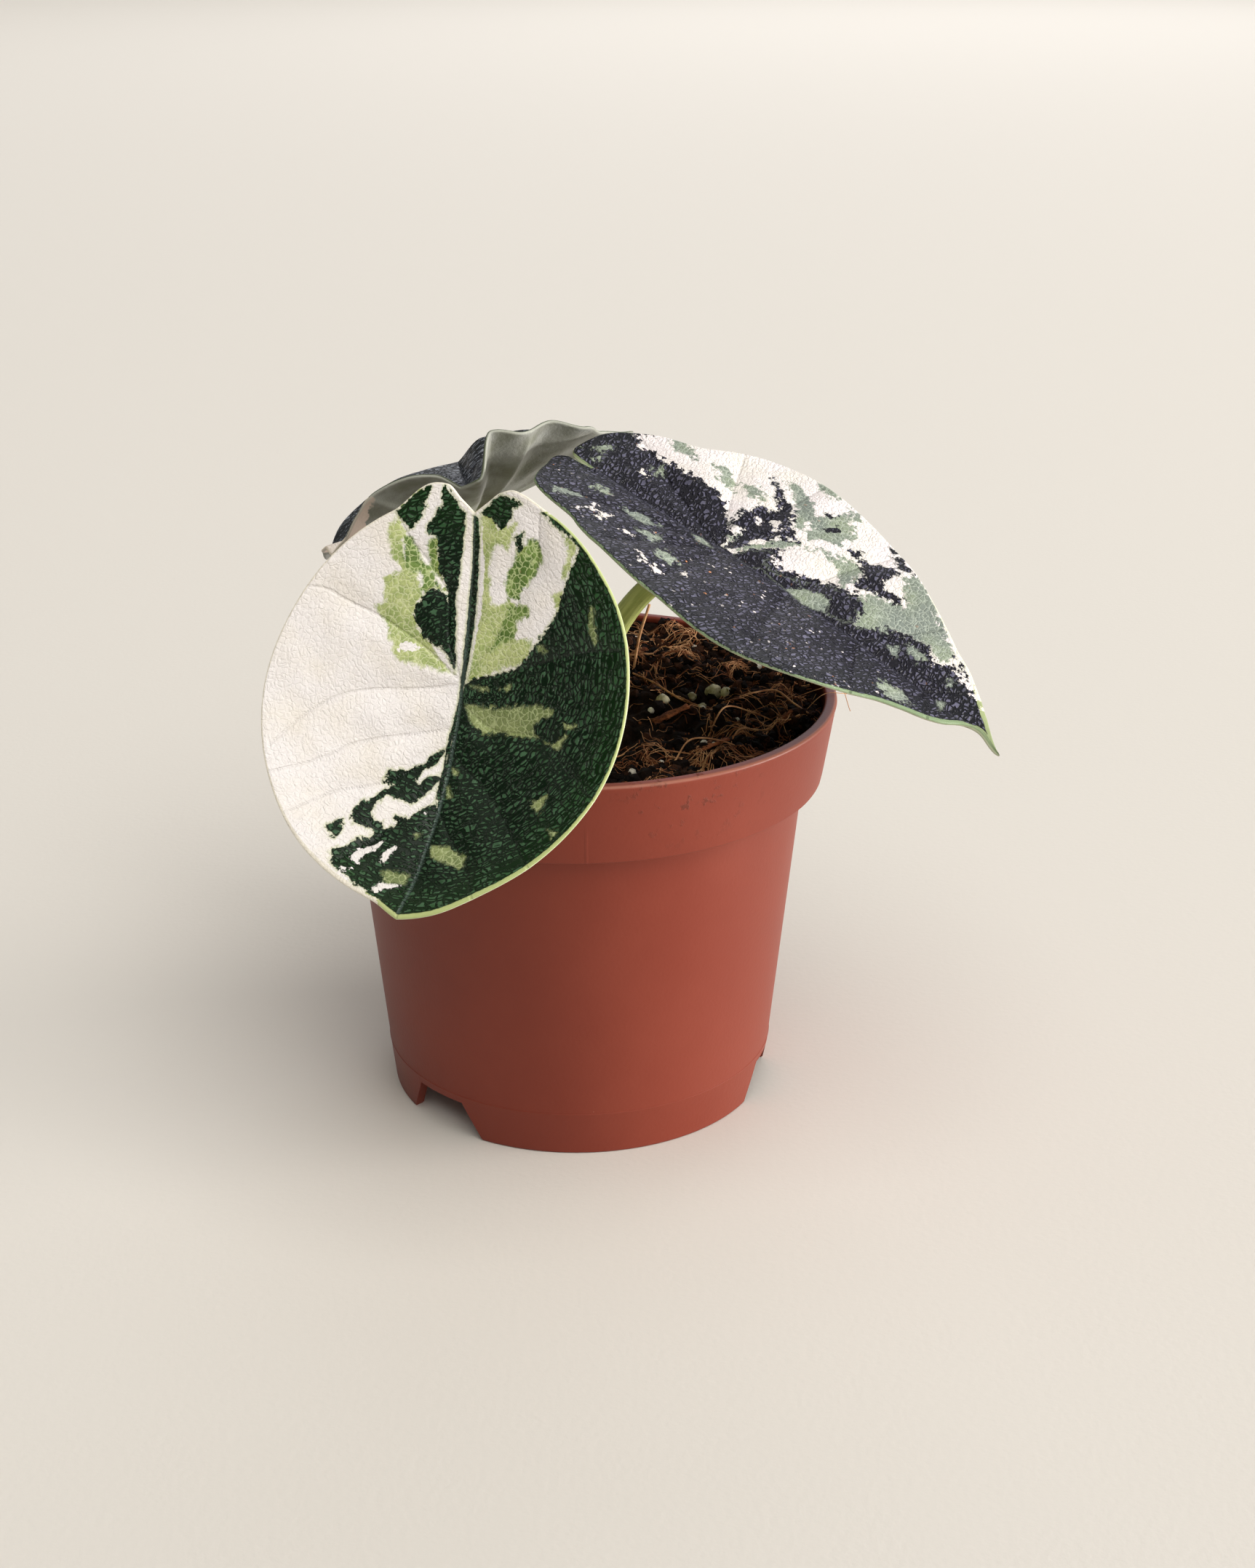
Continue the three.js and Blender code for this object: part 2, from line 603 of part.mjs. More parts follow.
function stalkSolid(leaf, extra) {
  const slimming = STALK_TOP_RADIUS - STALK_BASE_RADIUS;
  return rodSolid(stalkCurve(leaf), STALK_STEPS, (share) => STALK_BASE_RADIUS + slimming * share, extra);
}

// The crown: a domed stem base that goes down into the soil, with a sheath round each stalk
function sheathSolid(leaf, extra) {
  const way = stalkCurve(leaf);
  const share = SHEATH_LENGTH / way.getLength();
  const points = [0, 0.25, 0.5, 0.75, 1].map((part) => way.getPointAt(part * share));
  const root = points[0].clone().setZ(points[0].z - SHEATH_ROOT);
  const curve = new THREE.CatmullRomCurve3([root, ...points], false, 'centripetal');
  const lipRadius = STALK_BASE_RADIUS + GAP + SHEATH_WALL;
  return rodSolid(curve, SHEATH_STEPS, (part) => lipRadius + SHEATH_SWELL * (1 - part), extra);
}

function crownSolid(leaves) {
  const profile = [
    [0, CROWN.bottom],
    [CROWN.radius - CROWN_FOOT.narrowing, CROWN.bottom],
    [CROWN.radius, CROWN.bottom + CROWN_FOOT.height],
    [CROWN.radius, CROWN.shoulder],
    [CROWN.radius - CROWN_DOME.narrowing, CROWN.top - CROWN_DOME.height],
    [0, CROWN.top],
  ].map(([radius, z]) => new THREE.Vector2(radius, z));
  const stump = turned(profile, CROWN_SIDES).translate([CROWN.x, CROWN.y, 0]);
  const whole = wasm.Manifold.union([stump, ...leaves.map((leaf) => sheathSolid(leaf, 0))]);
  return largestPart(leaves.reduce((rest, leaf) => rest.subtract(stalkSolid(leaf, GAP)), whole));
}

// The assembly
function piece(name, geometry, material) {
  const mesh = new THREE.Mesh(geometry, material);
  mesh.name = name;
  return mesh;
}

const leaves = [
  { side: 'front', leaf: LEAF_FRONT, material: FRONT_BLADE },
  { side: 'right', leaf: LEAF_RIGHT, material: RIGHT_BLADE },
  { side: 'back', leaf: LEAF_BACK, material: BACK_BLADE },
];
const allLeaves = leaves.map(({ leaf }) => leaf);
const plant = new THREE.Group();
plant.add(piece('pot', potGeometry(), TERRACOTTA_PLASTIC));
plant.add(piece('soil', soilGeometry(allLeaves), PEAT));
plant.add(piece('stem_crown', geometryOf(crownSolid(allLeaves)), CROWN_GREEN));
for (const { side, leaf, material } of leaves) {
  plant.add(piece(`leaf_${side}_stalk`, geometryOf(stalkSolid(leaf, 0)), STALK_GREEN));
  plant.add(piece(`leaf_${side}_blade`, bladeGeometry(leaf, BLADE_THICKNESS), material));
}

// The frame's origin is the middle of the whole model's box, at the height of the pot's foot
const box = new THREE.Box3().setFromObject(plant);
plant.position.set(-(box.min.x + box.max.x) / 2, -(box.min.y + box.max.y) / 2, -box.min.z);

const model = new THREE.Group();
model.add(plant);
export default model;
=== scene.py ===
"""A potted variegated alocasia melo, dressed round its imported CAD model.

Places are in the pot's own millimetres: the origin is on the pot's axis at floor height, Z is up
and the front faces -Y. PotFrame turns them into the row's frame in metres.
"""
import logging
import math
from collections.abc import Callable, Mapping, Sequence
from dataclasses import dataclass, field
from enum import Enum

import bpy
import numpy as np
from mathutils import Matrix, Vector


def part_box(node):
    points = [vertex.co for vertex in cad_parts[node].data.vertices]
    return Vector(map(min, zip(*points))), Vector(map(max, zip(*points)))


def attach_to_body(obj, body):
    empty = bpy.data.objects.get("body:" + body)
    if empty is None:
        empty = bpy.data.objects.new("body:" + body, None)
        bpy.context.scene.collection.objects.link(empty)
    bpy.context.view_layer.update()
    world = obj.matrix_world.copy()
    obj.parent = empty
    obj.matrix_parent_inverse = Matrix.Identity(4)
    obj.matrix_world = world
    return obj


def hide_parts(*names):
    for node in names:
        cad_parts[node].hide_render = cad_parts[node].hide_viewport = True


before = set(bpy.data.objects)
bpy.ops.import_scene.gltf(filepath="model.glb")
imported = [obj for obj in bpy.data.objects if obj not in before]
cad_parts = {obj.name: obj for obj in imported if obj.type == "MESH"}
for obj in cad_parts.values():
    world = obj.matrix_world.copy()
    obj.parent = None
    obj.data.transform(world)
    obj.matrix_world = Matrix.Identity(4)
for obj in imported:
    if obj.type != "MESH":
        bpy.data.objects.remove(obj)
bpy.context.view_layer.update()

LOG = logging.getLogger("alocasia")
RADIANS = math.pi / 180
MM = 0.001
BODY = "root"
Array = np.ndarray
Colour = tuple[float, float, float, float]
Point = tuple[float, float, float]
Spot = tuple[float, float]
Shape = tuple[Array, list[list[int]]]


def srgb(red: float, green: float, blue: float) -> Colour:
    """Turns a screen colour into the linear light that shaders work in.

    Args:
        red: red from 0 to 255.
        green: green from 0 to 255.
        blue: blue from 0 to 255.

    Returns:
        The colour with full alpha.
    """
    parts = [part / 255 for part in (red, green, blue)]
    light = [part / 12.92 if part <= 0.04045 else ((part + 0.055) / 1.055) ** 2.4 for part in parts]
    return (light[0], light[1], light[2], 1.0)


class PotFrame:
    """The pot's own millimetres, and where they lie in the row's frame."""

    def __init__(self) -> None:
        """Takes the pot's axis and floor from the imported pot."""
        low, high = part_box("pot")
        self.origin = np.array([(low.x + high.x) / 2, (low.y + high.y) / 2, low.z])

    def place(self, points: Array | Sequence[float]) -> Array:
        """Turns pot millimetres into metres of the row's frame."""
        return np.asarray(points, float) * MM + self.origin


POT_FRAME = PotFrame()


# Node trees


class Value:
    """A number in a node tree. Each operator used on it adds a Math node."""

    def __init__(self, sheet: "NodeSheet", socket: bpy.types.NodeSocket) -> None:
        """Keeps the sheet that the socket is on."""
        self.sheet = sheet
        self.socket = socket

    def __add__(self, other: "Number") -> "Value":
        """The sum."""
        return self.sheet.maths("ADD", self, other)

    def __sub__(self, other: "Number") -> "Value":
        """The difference."""
        return self.sheet.maths("SUBTRACT", self, other)

    def __rsub__(self, other: "Number") -> "Value":
        """The difference from a plain number."""
        return self.sheet.maths("SUBTRACT", other, self)

    def __mul__(self, other: "Number") -> "Value":
        """The product."""
        return self.sheet.maths("MULTIPLY", self, other)

    __radd__ = __add__
    __rmul__ = __mul__

    def most(self, other: "Number") -> "Value":
        """The larger of the two."""
        return self.sheet.maths("MAXIMUM", self, other)

    def rise(self, low: float, high: float) -> "Value":
        """A smooth step from 0 at low to 1 at high, which may be the smaller one."""
        settings = {"interpolation_type": "SMOOTHSTEP"}
        if low < high:
            sockets = {"Value": self, "From Min": low, "From Max": high}
        else:
            sockets = {"Value": self, "From Min": high, "From Max": low, "To Min": 1.0, "To Max": 0.0}
        return Value(self.sheet, self.sheet.node("ShaderNodeMapRange", settings, sockets).outputs[0])


Number = Value | float
Feed = Value | bpy.types.NodeSocket | float | Sequence[float] | bool | str


class NodeSheet:
    """A node tree, and short ways to add nodes to it."""

    def __init__(self, tree: bpy.types.NodeTree) -> None:
        """Keeps the tree."""
        self.tree = tree

    def node(
        self,
        kind: str,
        settings: Mapping[str, object] | None = None,
        sockets: Mapping[str | int, Feed] | None = None,
    ) -> bpy.types.Node:
        """Adds a node.

        Args:
            kind: the node's type.
            settings: its properties, which are set first.
            sockets: values or links of its input sockets, by name or place.

        Returns:
            The node.
        """
        made = self.tree.nodes.new(kind)
        for name, value in (settings or {}).items():
            setattr(made, name, value)
        for key, value in (sockets or {}).items():
            self.feed(made.inputs[key], value)
        return made

    def feed(self, socket: bpy.types.NodeSocket, value: Feed) -> None:
        """Links a socket to a value, or sets the number on it."""
        if isinstance(value, Value):
            value = value.socket
        if isinstance(value, bpy.types.NodeSocket):
            self.tree.links.new(value, socket)
        else:
            socket.default_value = value

    def maths(self, operation: str, first: Feed, second: Feed) -> Value:
        """Adds a Math node for two numbers."""
        sockets = {0: first, 1: second}
        return Value(self, self.node("ShaderNodeMath", {"operation": operation}, sockets).outputs[0])

    def vector(self, operation: str, first: Feed, second: Feed) -> bpy.types.NodeSocket:
        """Adds a Vector Math node for a vector and a vector or a scale."""
        slot = 3 if operation == "SCALE" else 1
        sockets = {0: first, slot: second}
        return self.node("ShaderNodeVectorMath", {"operation": operation}, sockets).outputs[0]


class FinishSheet(NodeSheet):
    """The node tree of one material."""

    def __init__(self, name: str) -> None:
        """Starts an empty material."""
        self.material = bpy.data.materials.new(name)
        self.material.use_nodes = True
        self.material.node_tree.nodes.clear()
        super().__init__(self.material.node_tree)

    def measure(self, name: str) -> Value:
        """A number that the mesh keeps at each point."""
        kind = "ShaderNodeAttribute"
        return Value(self, self.node(kind, {"attribute_name": name}).outputs["Fac"])

    def place(self, name: str) -> bpy.types.NodeSocket:
        """A vector that the mesh keeps at each point."""
        return self.node("ShaderNodeAttribute", {"attribute_name": name}).outputs["Vector"]

    def millimetres(self) -> bpy.types.NodeSocket:
        """The place on the object in the pot's millimetres."""
        spot = self.node("ShaderNodeTexCoord").outputs["Object"]
        from_axis = self.vector("SUBTRACT", spot, tuple(POT_FRAME.origin))
        return self.vector("SCALE", from_axis, 1 / MM)

    def noise(self, at: Feed, per_mm: float, detail: float = 2.0, roughness: float = 0.5) -> Value:
        """Smooth noise from 0 to 1 with so many waves in a millimetre."""
        sockets = {"Vector": at, "Scale": per_mm, "Detail": detail, "Roughness": roughness}
        return Value(self, self.node("ShaderNodeTexNoise", None, sockets).outputs[0])

    def wave(self, at: Feed, scale: float, distortion: float, detail_scale: float) -> Value:
        """Wavy ridges across the third coordinate, from 0 to 1."""
        settings = {"wave_type": "BANDS", "bands_direction": "Z", "wave_profile": "SIN"}
        sockets = {"Vector": at, "Scale": scale, "Distortion": distortion, "Detail": 1.0,
                   "Detail Scale": detail_scale}
        return Value(self, self.node("ShaderNodeTexWave", settings, sockets).outputs["Fac"])

    def cells(self, at: Feed, per_mm: float, feature: str = "F1") -> bpy.types.Node:
        """A cell pattern with so many cells in a millimetre."""
        return self.node("ShaderNodeTexVoronoi", {"feature": feature}, {"Vector": at, "Scale": per_mm})

    def cell_edge(self, at: Feed, per_mm: float) -> Value:
        """How far a place is from the edge of its cell, in cells."""
        return Value(self, self.cells(at, per_mm, "DISTANCE_TO_EDGE").outputs["Distance"])

    def cell_chance(self, at: Feed, per_mm: float) -> Value:
        """A number from 0 to 1 that is the same all over a cell."""
        colour = self.cells(at, per_mm).outputs["Color"]
        return Value(self, self.node("ShaderNodeSeparateColor", None, {0: colour}).outputs[0])

    def mix(self, share: Number, first: Feed, second: Feed) -> bpy.types.NodeSocket:
        """Mixes two colours, with the second one's share."""
        sockets = {0: share, 6: first, 7: second}
        return self.node("ShaderNodeMix", {"data_type": "RGBA"}, sockets).outputs[2]

    def specks(self, at: Feed, per_mm: float, radius: float, chance: float) -> Value:
        """Small round spots: one in so many cells, and as wide as the radius in millimetres."""
        pattern = self.cells(at, per_mm)
        draw = self.node("ShaderNodeSeparateColor", None, {0: pattern.outputs["Color"]})
        near = Value(self, pattern.outputs["Distance"]).rise(radius * per_mm, radius * per_mm * 0.6)
        return near * Value(self, draw.outputs[1]).rise(1 - chance, 1 - chance + 0.01)

    def finish(
        self,
        colour: Feed,
        roughness: Number,
        height: Number | None = None,
        depth: float = 0.0,
        constants: Mapping[str, float] | None = None,
    ) -> bpy.types.Material:
        """Ends the tree in a Principled shader.

        Args:
            colour: the base colour.
            roughness: the roughness.
            height: the bump's height, from 0 to 1.
            depth: what a height of 1 is, in millimetres.
            constants: plain numbers for other sockets.

        Returns:
            The material.
        """
        skin = {"Base Color": colour, "Roughness": roughness}
        shader = self.node("ShaderNodeBsdfPrincipled", None, skin)
        for name, number in (constants or {}).items():
            shader.inputs[name].default_value = number
        if height is not None:
            bump = self.node("ShaderNodeBump", None, {"Height": height, "Distance": depth * MM})
            self.feed(shader.inputs["Normal"], bump.outputs[0])
        self.node("ShaderNodeOutputMaterial", None, {"Surface": shader.outputs[0]})
        return self.material


class GrowthSheet(NodeSheet):
    """A Geometry Nodes tree with named inputs."""

    KINDS = {
        "Geometry": "NodeSocketGeometry",
        "Material": "NodeSocketMaterial",
        "Facets": "NodeSocketInt",
        "Seed": "NodeSocketInt",
    }

    def __init__(self, name: str, inputs: Sequence[str]) -> None:
        """Starts a tree that takes and gives a geometry.

        Args:
            name: the tree's name.
            inputs: the names of its other inputs; those not in KINDS are plain numbers.
        """
        super().__init__(bpy.data.node_groups.new(name, "GeometryNodeTree"))
        for label in ("Geometry", *inputs, "Material", "Seed"):
            kind = self.KINDS.get(label, "NodeSocketFloat")
            self.tree.interface.new_socket(label, in_out="INPUT", socket_type=kind)
        self.tree.interface.new_socket("Geometry", in_out="OUTPUT", socket_type="NodeSocketGeometry")
        self.given = self.node("NodeGroupInput").outputs

    def end(self, geometry: bpy.types.NodeSocket) -> bpy.types.NodeTree:
        """Makes instances real, gives them the material, and ends the tree."""
        real = self.node("GeometryNodeRealizeInstances", None, {0: geometry}).outputs[0]
        sockets = {"Geometry": real, "Material": self.given["Material"]}
        coated = self.node("GeometryNodeSetMaterial", None, sockets).outputs[0]
        self.node("NodeGroupOutput", None, {0: coated})
        return self.tree

    def chance(self, low: Feed, high: Feed, offset: int) -> bpy.types.NodeSocket:
        """A random number for each point or instance."""
        sockets = {2: low, 3: high, "Seed": self.maths("ADD", self.given["Seed"], float(offset))}
        return self.node("FunctionNodeRandomValue", {"data_type": "FLOAT"}, sockets).outputs[1]

    def chances(self, low: Sequence[float], high: Sequence[float], offset: int) -> bpy.types.NodeSocket:
        """A random vector for each point or instance."""
        sockets = {0: low, 1: high, "Seed": self.maths("ADD", self.given["Seed"], float(offset))}
        return self.node("FunctionNodeRandomValue", {"data_type": "FLOAT_VECTOR"}, sockets).outputs[0]

    def scattered(self) -> bpy.types.NodeSocket:
        """Points over the faces of the given geometry, thicker where its litter number is high."""
        litter = self.node("GeometryNodeInputNamedAttribute", {"data_type": "FLOAT"}, {"Name": "litter"})
        density = self.maths("MULTIPLY", litter.outputs["Attribute"], self.given["Per square metre"])
        sockets = {"Mesh": self.given["Geometry"], "Density": density, "Seed": self.given["Seed"]}
        return self.node("GeometryNodeDistributePointsOnFaces", None, sockets).outputs["Points"]


# Meshes


def make_piece(
    name: str,
    points: Array,
    faces: Sequence[Sequence[int]],
    materials: Sequence[bpy.types.Material],
    face_finish: Array | None = None,
    measures: Mapping[str, Array] | None = None,
) -> bpy.types.Object:
    """Makes an object whose place is in its mesh.

    Args:
        name: the piece's name.
        points: its corners in pot millimetres.
        faces: rows of corner numbers.
        materials: its materials.
        face_finish: which material each face has.
        measures: numbers or vectors to keep at each corner.

    Returns:
        The object, linked to the scene.
    """
    mesh = bpy.data.meshes.new(name)
    mesh.from_pydata(POT_FRAME.place(points).tolist(), [], [list(map(int, face)) for face in faces])
    for material in materials:
        mesh.materials.append(material)
    if face_finish is not None:
        mesh.polygons.foreach_set("material_index", np.asarray(face_finish, np.int32))
    for label, values in (measures or {}).items():
        is_vector = np.ndim(values) == 2
        attribute = mesh.attributes.new(label, "FLOAT_VECTOR" if is_vector else "FLOAT", "POINT")
        flat = np.ascontiguousarray(values, np.float32).ravel()
        attribute.data.foreach_set("vector" if is_vector else "value", flat)
    mesh.shade_smooth()
    mesh.update()
    piece = bpy.data.objects.new(name, mesh)
    bpy.context.collection.objects.link(piece)
    return piece


def hand_in(piece: bpy.types.Object, slot: str, *nodes: str) -> None:
    """Puts a piece on the body, hides the CAD nodes that it stands for, and logs it with its slot.

    Args:
        piece: the piece.
        slot: the record's material slot.
        nodes: the CAD nodes that it stands for.
    """
    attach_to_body(piece, BODY)
    if nodes:
        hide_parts(*nodes)
    faces = len(piece.data.polygons)
    LOG.info("%s: %d faces, slot %s, for %s", piece.name, faces, slot, nodes or "nothing")


def applied(piece: bpy.types.Object) -> None:
    """Makes a piece's modifiers part of its mesh."""
    depsgraph = bpy.context.evaluated_depsgraph_get()
    mesh = bpy.data.meshes.new_from_object(piece.evaluated_get(depsgraph), depsgraph=depsgraph)
    piece.modifiers.clear()
    piece.data = mesh


def grown(
    name: str, bed: bpy.types.Object, tree: bpy.types.NodeTree, settings: Mapping[str, object]
) -> bpy.types.Object:
    """Grows a piece on a bed with a Geometry Nodes tree.

    Args:
        name: the new piece's name.
        bed: the object whose mesh the tree is given.
        tree: the tree.
        settings: the values of its inputs, by name.

    Returns:
        The piece as a plain mesh.
    """
    piece = bpy.data.objects.new(name, bed.data)
    bpy.context.collection.objects.link(piece)
    modifier = piece.modifiers.new(name, "NODES")
    modifier.node_group = tree
    for socket in tree.interface.items_tree:
        if socket.in_out == "INPUT" and socket.name in settings:
            modifier[socket.identifier] = settings[socket.name]
    applied(piece)
    piece.data.name = name
    return piece


def joined(parts: Sequence[Shape]) -> Shape:
    """Puts several point and face lists together.

    Args:
        parts: pairs of points and faces.

    Returns:
        All the points and all the faces.
    """
    points: list[Array] = []
    faces: list[list[int]] = []
    count = 0
    for part_points, part_faces in parts:
        points.append(np.asarray(part_points, float))
        faces.extend([[corner + count for corner in face] for face in part_faces])
        count += len(part_points)
    return np.concatenate(points), faces


def circle(turns: Array, radius: float, z: float) -> Array:
    """Points round the pot's axis at one height, one at each turn in radians."""
    return np.stack([radius * np.cos(turns), radius * np.sin(turns), np.full(len(turns), z)], 1)


def disc_grid(cells: int) -> tuple[Array, Array, Array]:
    """A square grid pressed into a disc, so that it has no pole.

    Args:
        cells: cells along a side, an even number.

    Returns:
        Each corner's ring number from 0 at the middle, its turn in degrees from -180 to 180, and
        the faces, which run anticlockwise.
    """
    half = cells // 2
    a, b = np.meshgrid(np.arange(-half, half + 1), np.arange(-half, half + 1), indexing="ij")
    ring = np.maximum(abs(a), abs(b))
    flat = abs(a) >= abs(b)
    turn = np.where(flat, 45 * b / np.where(a == 0, 1, a), 90 - 45 * a / np.where(b == 0, 1, b))
    turn = turn + np.where(flat & (a < 0), 180, 0) + np.where(~flat & (b < 0), 180, 0)
    turn = (turn + 180) % 360 - 180
    number = np.arange((cells + 1) ** 2).reshape(cells + 1, cells + 1)
    faces = np.stack([number[:-1, :-1], number[1:, :-1], number[1:, 1:], number[:-1, 1:]], -1)
    return ring.ravel(), turn.ravel(), faces.reshape(-1, 4)


def corner_normals(points: Array, faces: Array) -> Array:
    """The unit normal at each corner of a sheet of four-cornered faces."""
    across = points[faces[:, 2]] - points[faces[:, 0]]
    along = points[faces[:, 3]] - points[faces[:, 1]]
    face_normals = np.cross(across, along)
    normals = np.zeros_like(points)
    for corner in range(4):
        np.add.at(normals, faces[:, corner], face_normals)
    return normals / np.linalg.norm(normals, axis=1, keepdims=True)


def smooth_through(stations: Sequence[float], values: Sequence[float]) -> Callable[[Array], Array]:
    """A smooth curve through a value at each station, with no overshoot between two stations.

    Args:
        stations: rising places.
        values: the curve's values there.

    Returns:
        A function from places to values.
    """
    place, value = np.asarray(stations, float), np.asarray(values, float)
    slopes = np.diff(value) / np.diff(place)
    before = np.concatenate([slopes[:1], slopes])
    after = np.concatenate([slopes, slopes[-1:]])
    same_way = before * after > 0
    tangents = np.where(same_way, 2 * before * after / np.where(same_way, before + after, 1), 0)

    def curve(at: Array) -> Array:
        """The values at some places."""
        low = np.clip(np.searchsorted(place, at, side="right") - 1, 0, len(place) - 2)
        width = place[low + 1] - place[low]
        t = (at - place[low]) / width
        rise = t * t * (3 - 2 * t)
        ease = tangents[low] * t * (1 - t) ** 2 - tangents[low + 1] * t * t * (1 - t)
        return value[low] * (1 - rise) + value[low + 1] * rise + width * ease

    return curve


def distance_to_line(spots: Array, line: Array) -> Array:
    """How far each spot of a plane is from a line of straight steps."""
    nearest = np.full(len(spots), np.inf)
    for start, end in zip(line[:-1], line[1:]):
        step = end - start
        share = np.clip((spots - start) @ step / max(step @ step, 1e-9), 0, 1)
        nearest = np.minimum(nearest, np.linalg.norm(spots - start - share[:, None] * step, axis=1))
    return nearest


def depth_inside(spots: Array, outline: Sequence[Spot]) -> Array:
    """How deep each spot lies inside a closed outline, negative outside it."""
    ring = np.array([*outline, outline[0]], float)
    inside = np.zeros(len(spots), bool)
    for (x0, y0), (x1, y1) in zip(ring[:-1], ring[1:]):
        if y0 == y1:
            continue
        crosses = (spots[:, 1] >= y0) != (spots[:, 1] >= y1)
        inside ^= crosses & (spots[:, 0] < x0 + (spots[:, 1] - y0) * (x1 - x0) / (y1 - y0))
    return np.where(inside, 1, -1) * distance_to_line(spots, ring)


class Lumps:
    """Smooth seeded noise on a plane."""

    SIDE = 64

    def __init__(self, seed: int) -> None:
        """Draws the heights of a lattice."""
        self.heights = np.random.default_rng(seed).uniform(-1, 1, (self.SIDE, self.SIDE))

    def at(self, x: Array, y: Array, size: float) -> Array:
        """The noise, from -1 to 1, with lumps as wide as the size."""
        column, row = np.floor(x / size).astype(int), np.floor(y / size).astype(int)
        s, t = x / size - column, y / size - row
        s, t = s * s * (3 - 2 * s), t * t * (3 - 2 * t)

        def corner(right: int, up: int) -> Array:
            """The lattice's heights at one corner of each place's cell."""
            return self.heights[(column + right) % self.SIDE, (row + up) % self.SIDE]

        low = corner(0, 0) * (1 - s) + corner(1, 0) * s
        high = corner(0, 1) * (1 - s) + corner(1, 1) * s
        return low * (1 - t) + high * t


# Short straight steps that a curve is measured in between two of its points
STEPS_BETWEEN_POINTS = 60


def smooth_path(points: Sequence[Point], steps: int) -> Array:
    """A centripetal Catmull-Rom curve in steps of equal length.

    Args:
        points: the points that it goes through.
        steps: how many steps it has.

    Returns:
        One more point than there are steps.
    """
    given = np.asarray(points, float)
    given = np.concatenate([[2 * given[0] - given[1]], given, [2 * given[-1] - given[-2]]])
    spans = np.linalg.norm(np.diff(given, axis=0), axis=1) ** 0.5
    fine: list[Array] = []
    t = np.linspace(0, 1, STEPS_BETWEEN_POINTS, endpoint=False)[:, None]
    for i in range(1, len(given) - 2):
        before, here, after = spans[i - 1], spans[i], spans[i + 1]
        p0, p1, p2, p3 = given[i - 1 : i + 3]
        start = here * ((p1 - p0) / before - (p2 - p0) / (before + here) + (p2 - p1) / here)
        end = here * ((p2 - p1) / here - (p3 - p1) / (here + after) + (p3 - p2) / after)
        square = -3 * p1 + 3 * p2 - 2 * start - end
        cube = 2 * p1 - 2 * p2 + start + end
        fine.append(p1 + start * t + square * t**2 + cube * t**3)
    line = np.concatenate([*fine, given[-2:-1]])
    run = np.concatenate([[0], np.cumsum(np.linalg.norm(np.diff(line, axis=0), axis=1))])
    wanted = np.linspace(0, run[-1], steps + 1)
    return np.stack([np.interp(wanted, run, line[:, axis]) for axis in range(3)], 1)


def tube_faces(rings: int, sides: int) -> list[list[int]]:
    """The faces of a closed tube.

    Args:
        rings: how many rings of corners it has.
        sides: how many corners are in a ring.

    Returns:
        Rows of corner numbers. The rings come first, then the middles of its two ends.
    """
    top = (rings - 1) * sides
    first = rings * sides
    faces: list[list[int]] = []
    for side in range(sides):
        after = (side + 1) % sides
        for row in range(0, top, sides):
            faces.append([row + side, row + after, row + sides + after, row + sides + side])
        faces.append([first, after, side])
        faces.append([first + 1, top + side, top + after])
    return faces


def rod(path: Array, radii: Array | float, sides: int) -> Shape:
    """A closed round rod along a path.

    Args:
        path: the middle of the rod, point by point.
        radii: its radius at each point, or one radius.
        sides: how many sides it has.

    Returns:
        Its points and faces.
    """
    tangents = np.gradient(path, axis=0)
    tangents /= np.linalg.norm(tangents, axis=1, keepdims=True)
    reach = np.broadcast_to(radii, len(path))
    aside = np.cross(tangents[0], (0.3, -0.8, 0.52))
    rings = []
    turns = np.arange(sides) * 2 * math.pi / sides
    for centre, ahead, radius in zip(path, tangents, reach):
        aside = aside - ahead * (aside @ ahead)
        aside = aside / np.linalg.norm(aside)
        other = np.cross(ahead, aside)
        rings.append(centre + radius * (np.outer(np.cos(turns), aside) + np.outer(np.sin(turns), other)))
    return np.concatenate([*rings, path[:1], path[-1:]]), tube_faces(len(path), sides)


# The blades


class Tone(Enum):
    """The tissues that a variegated blade is painted with."""

    CREAM = "cream"
    PALE = "pale"
    NETTED = "netted"
    DARK = "dark"
    SAGE = "sage"


class Wrinkles(Enum):
    """Which way the fine wrinkles of a blade run."""

    ROUND = "round the stalk"
    ACROSS = "across the midrib"


@dataclass(frozen=True)
class BladeColours:
    """The colours of one blade's tissues, and its painted highlight and shade."""

    cream: Colour
    cream_shade: Colour
    pale: Colour
    pale_vein: Colour
    netted: Colour
    netted_vein: Colour
    dark: Colour
    # painted highlight on the crests of the dark tissue's wrinkles
    dark_crest_highlight: Colour
    dark_rim: Colour
    sage: Colour
    sage_vein: Colour
    halo: Colour
    # painted shade in the furrows between the wrinkles and along the sunken ribs
    furrow_shade: Colour
    spine: Colour
    margin_right: Colour
    margin_left: Colour
    margin_on_cream: Colour


@dataclass(frozen=True)
class BladeForm:
    """The shape of one blade, in millimetres and degrees, as the CAD model has it.

    yaw and pitch point the midrib, with pitch down, and roll turns the blade about it. The curls
    are curvatures. angles run from the tip to the notch between the lobes, and the other rows
    give the blade's reach and the lift of its rim there. stalk is the way of the stalk up to the
    blade, and tip_sway is how far aside the tip swings.
    """

    attach: Point
    yaw: float
    pitch: float
    roll: float
    fold: float
    side_curl: float
    tip_curl: float
    lobe_curl: float
    angles: tuple[float, ...]
    right: tuple[float, ...]
    left: tuple[float, ...]
    right_wave: tuple[float, ...]
    left_wave: tuple[float, ...]
    stalk: tuple[Point, ...]
    tip_sway: float = 0.0


# Lateral ribs of a blade 55 mm long: where each leaves the midrib, its angle from the tip, and
# how far it bends towards the tip along its way
RIBS = ((0, 156, 6), (0, 122, 16), (0, 90, 20), (13, 76, 18), (27, 66, 16), (40, 56, 12))
RIB_REFERENCE_LENGTH = 55
RIB_LENGTH = 62
RIB_STEPS = 12
# The midrib, which runs past both ends of every blade
MIDRIB = ((-60.0, 0.0), (90.0, 0.0))

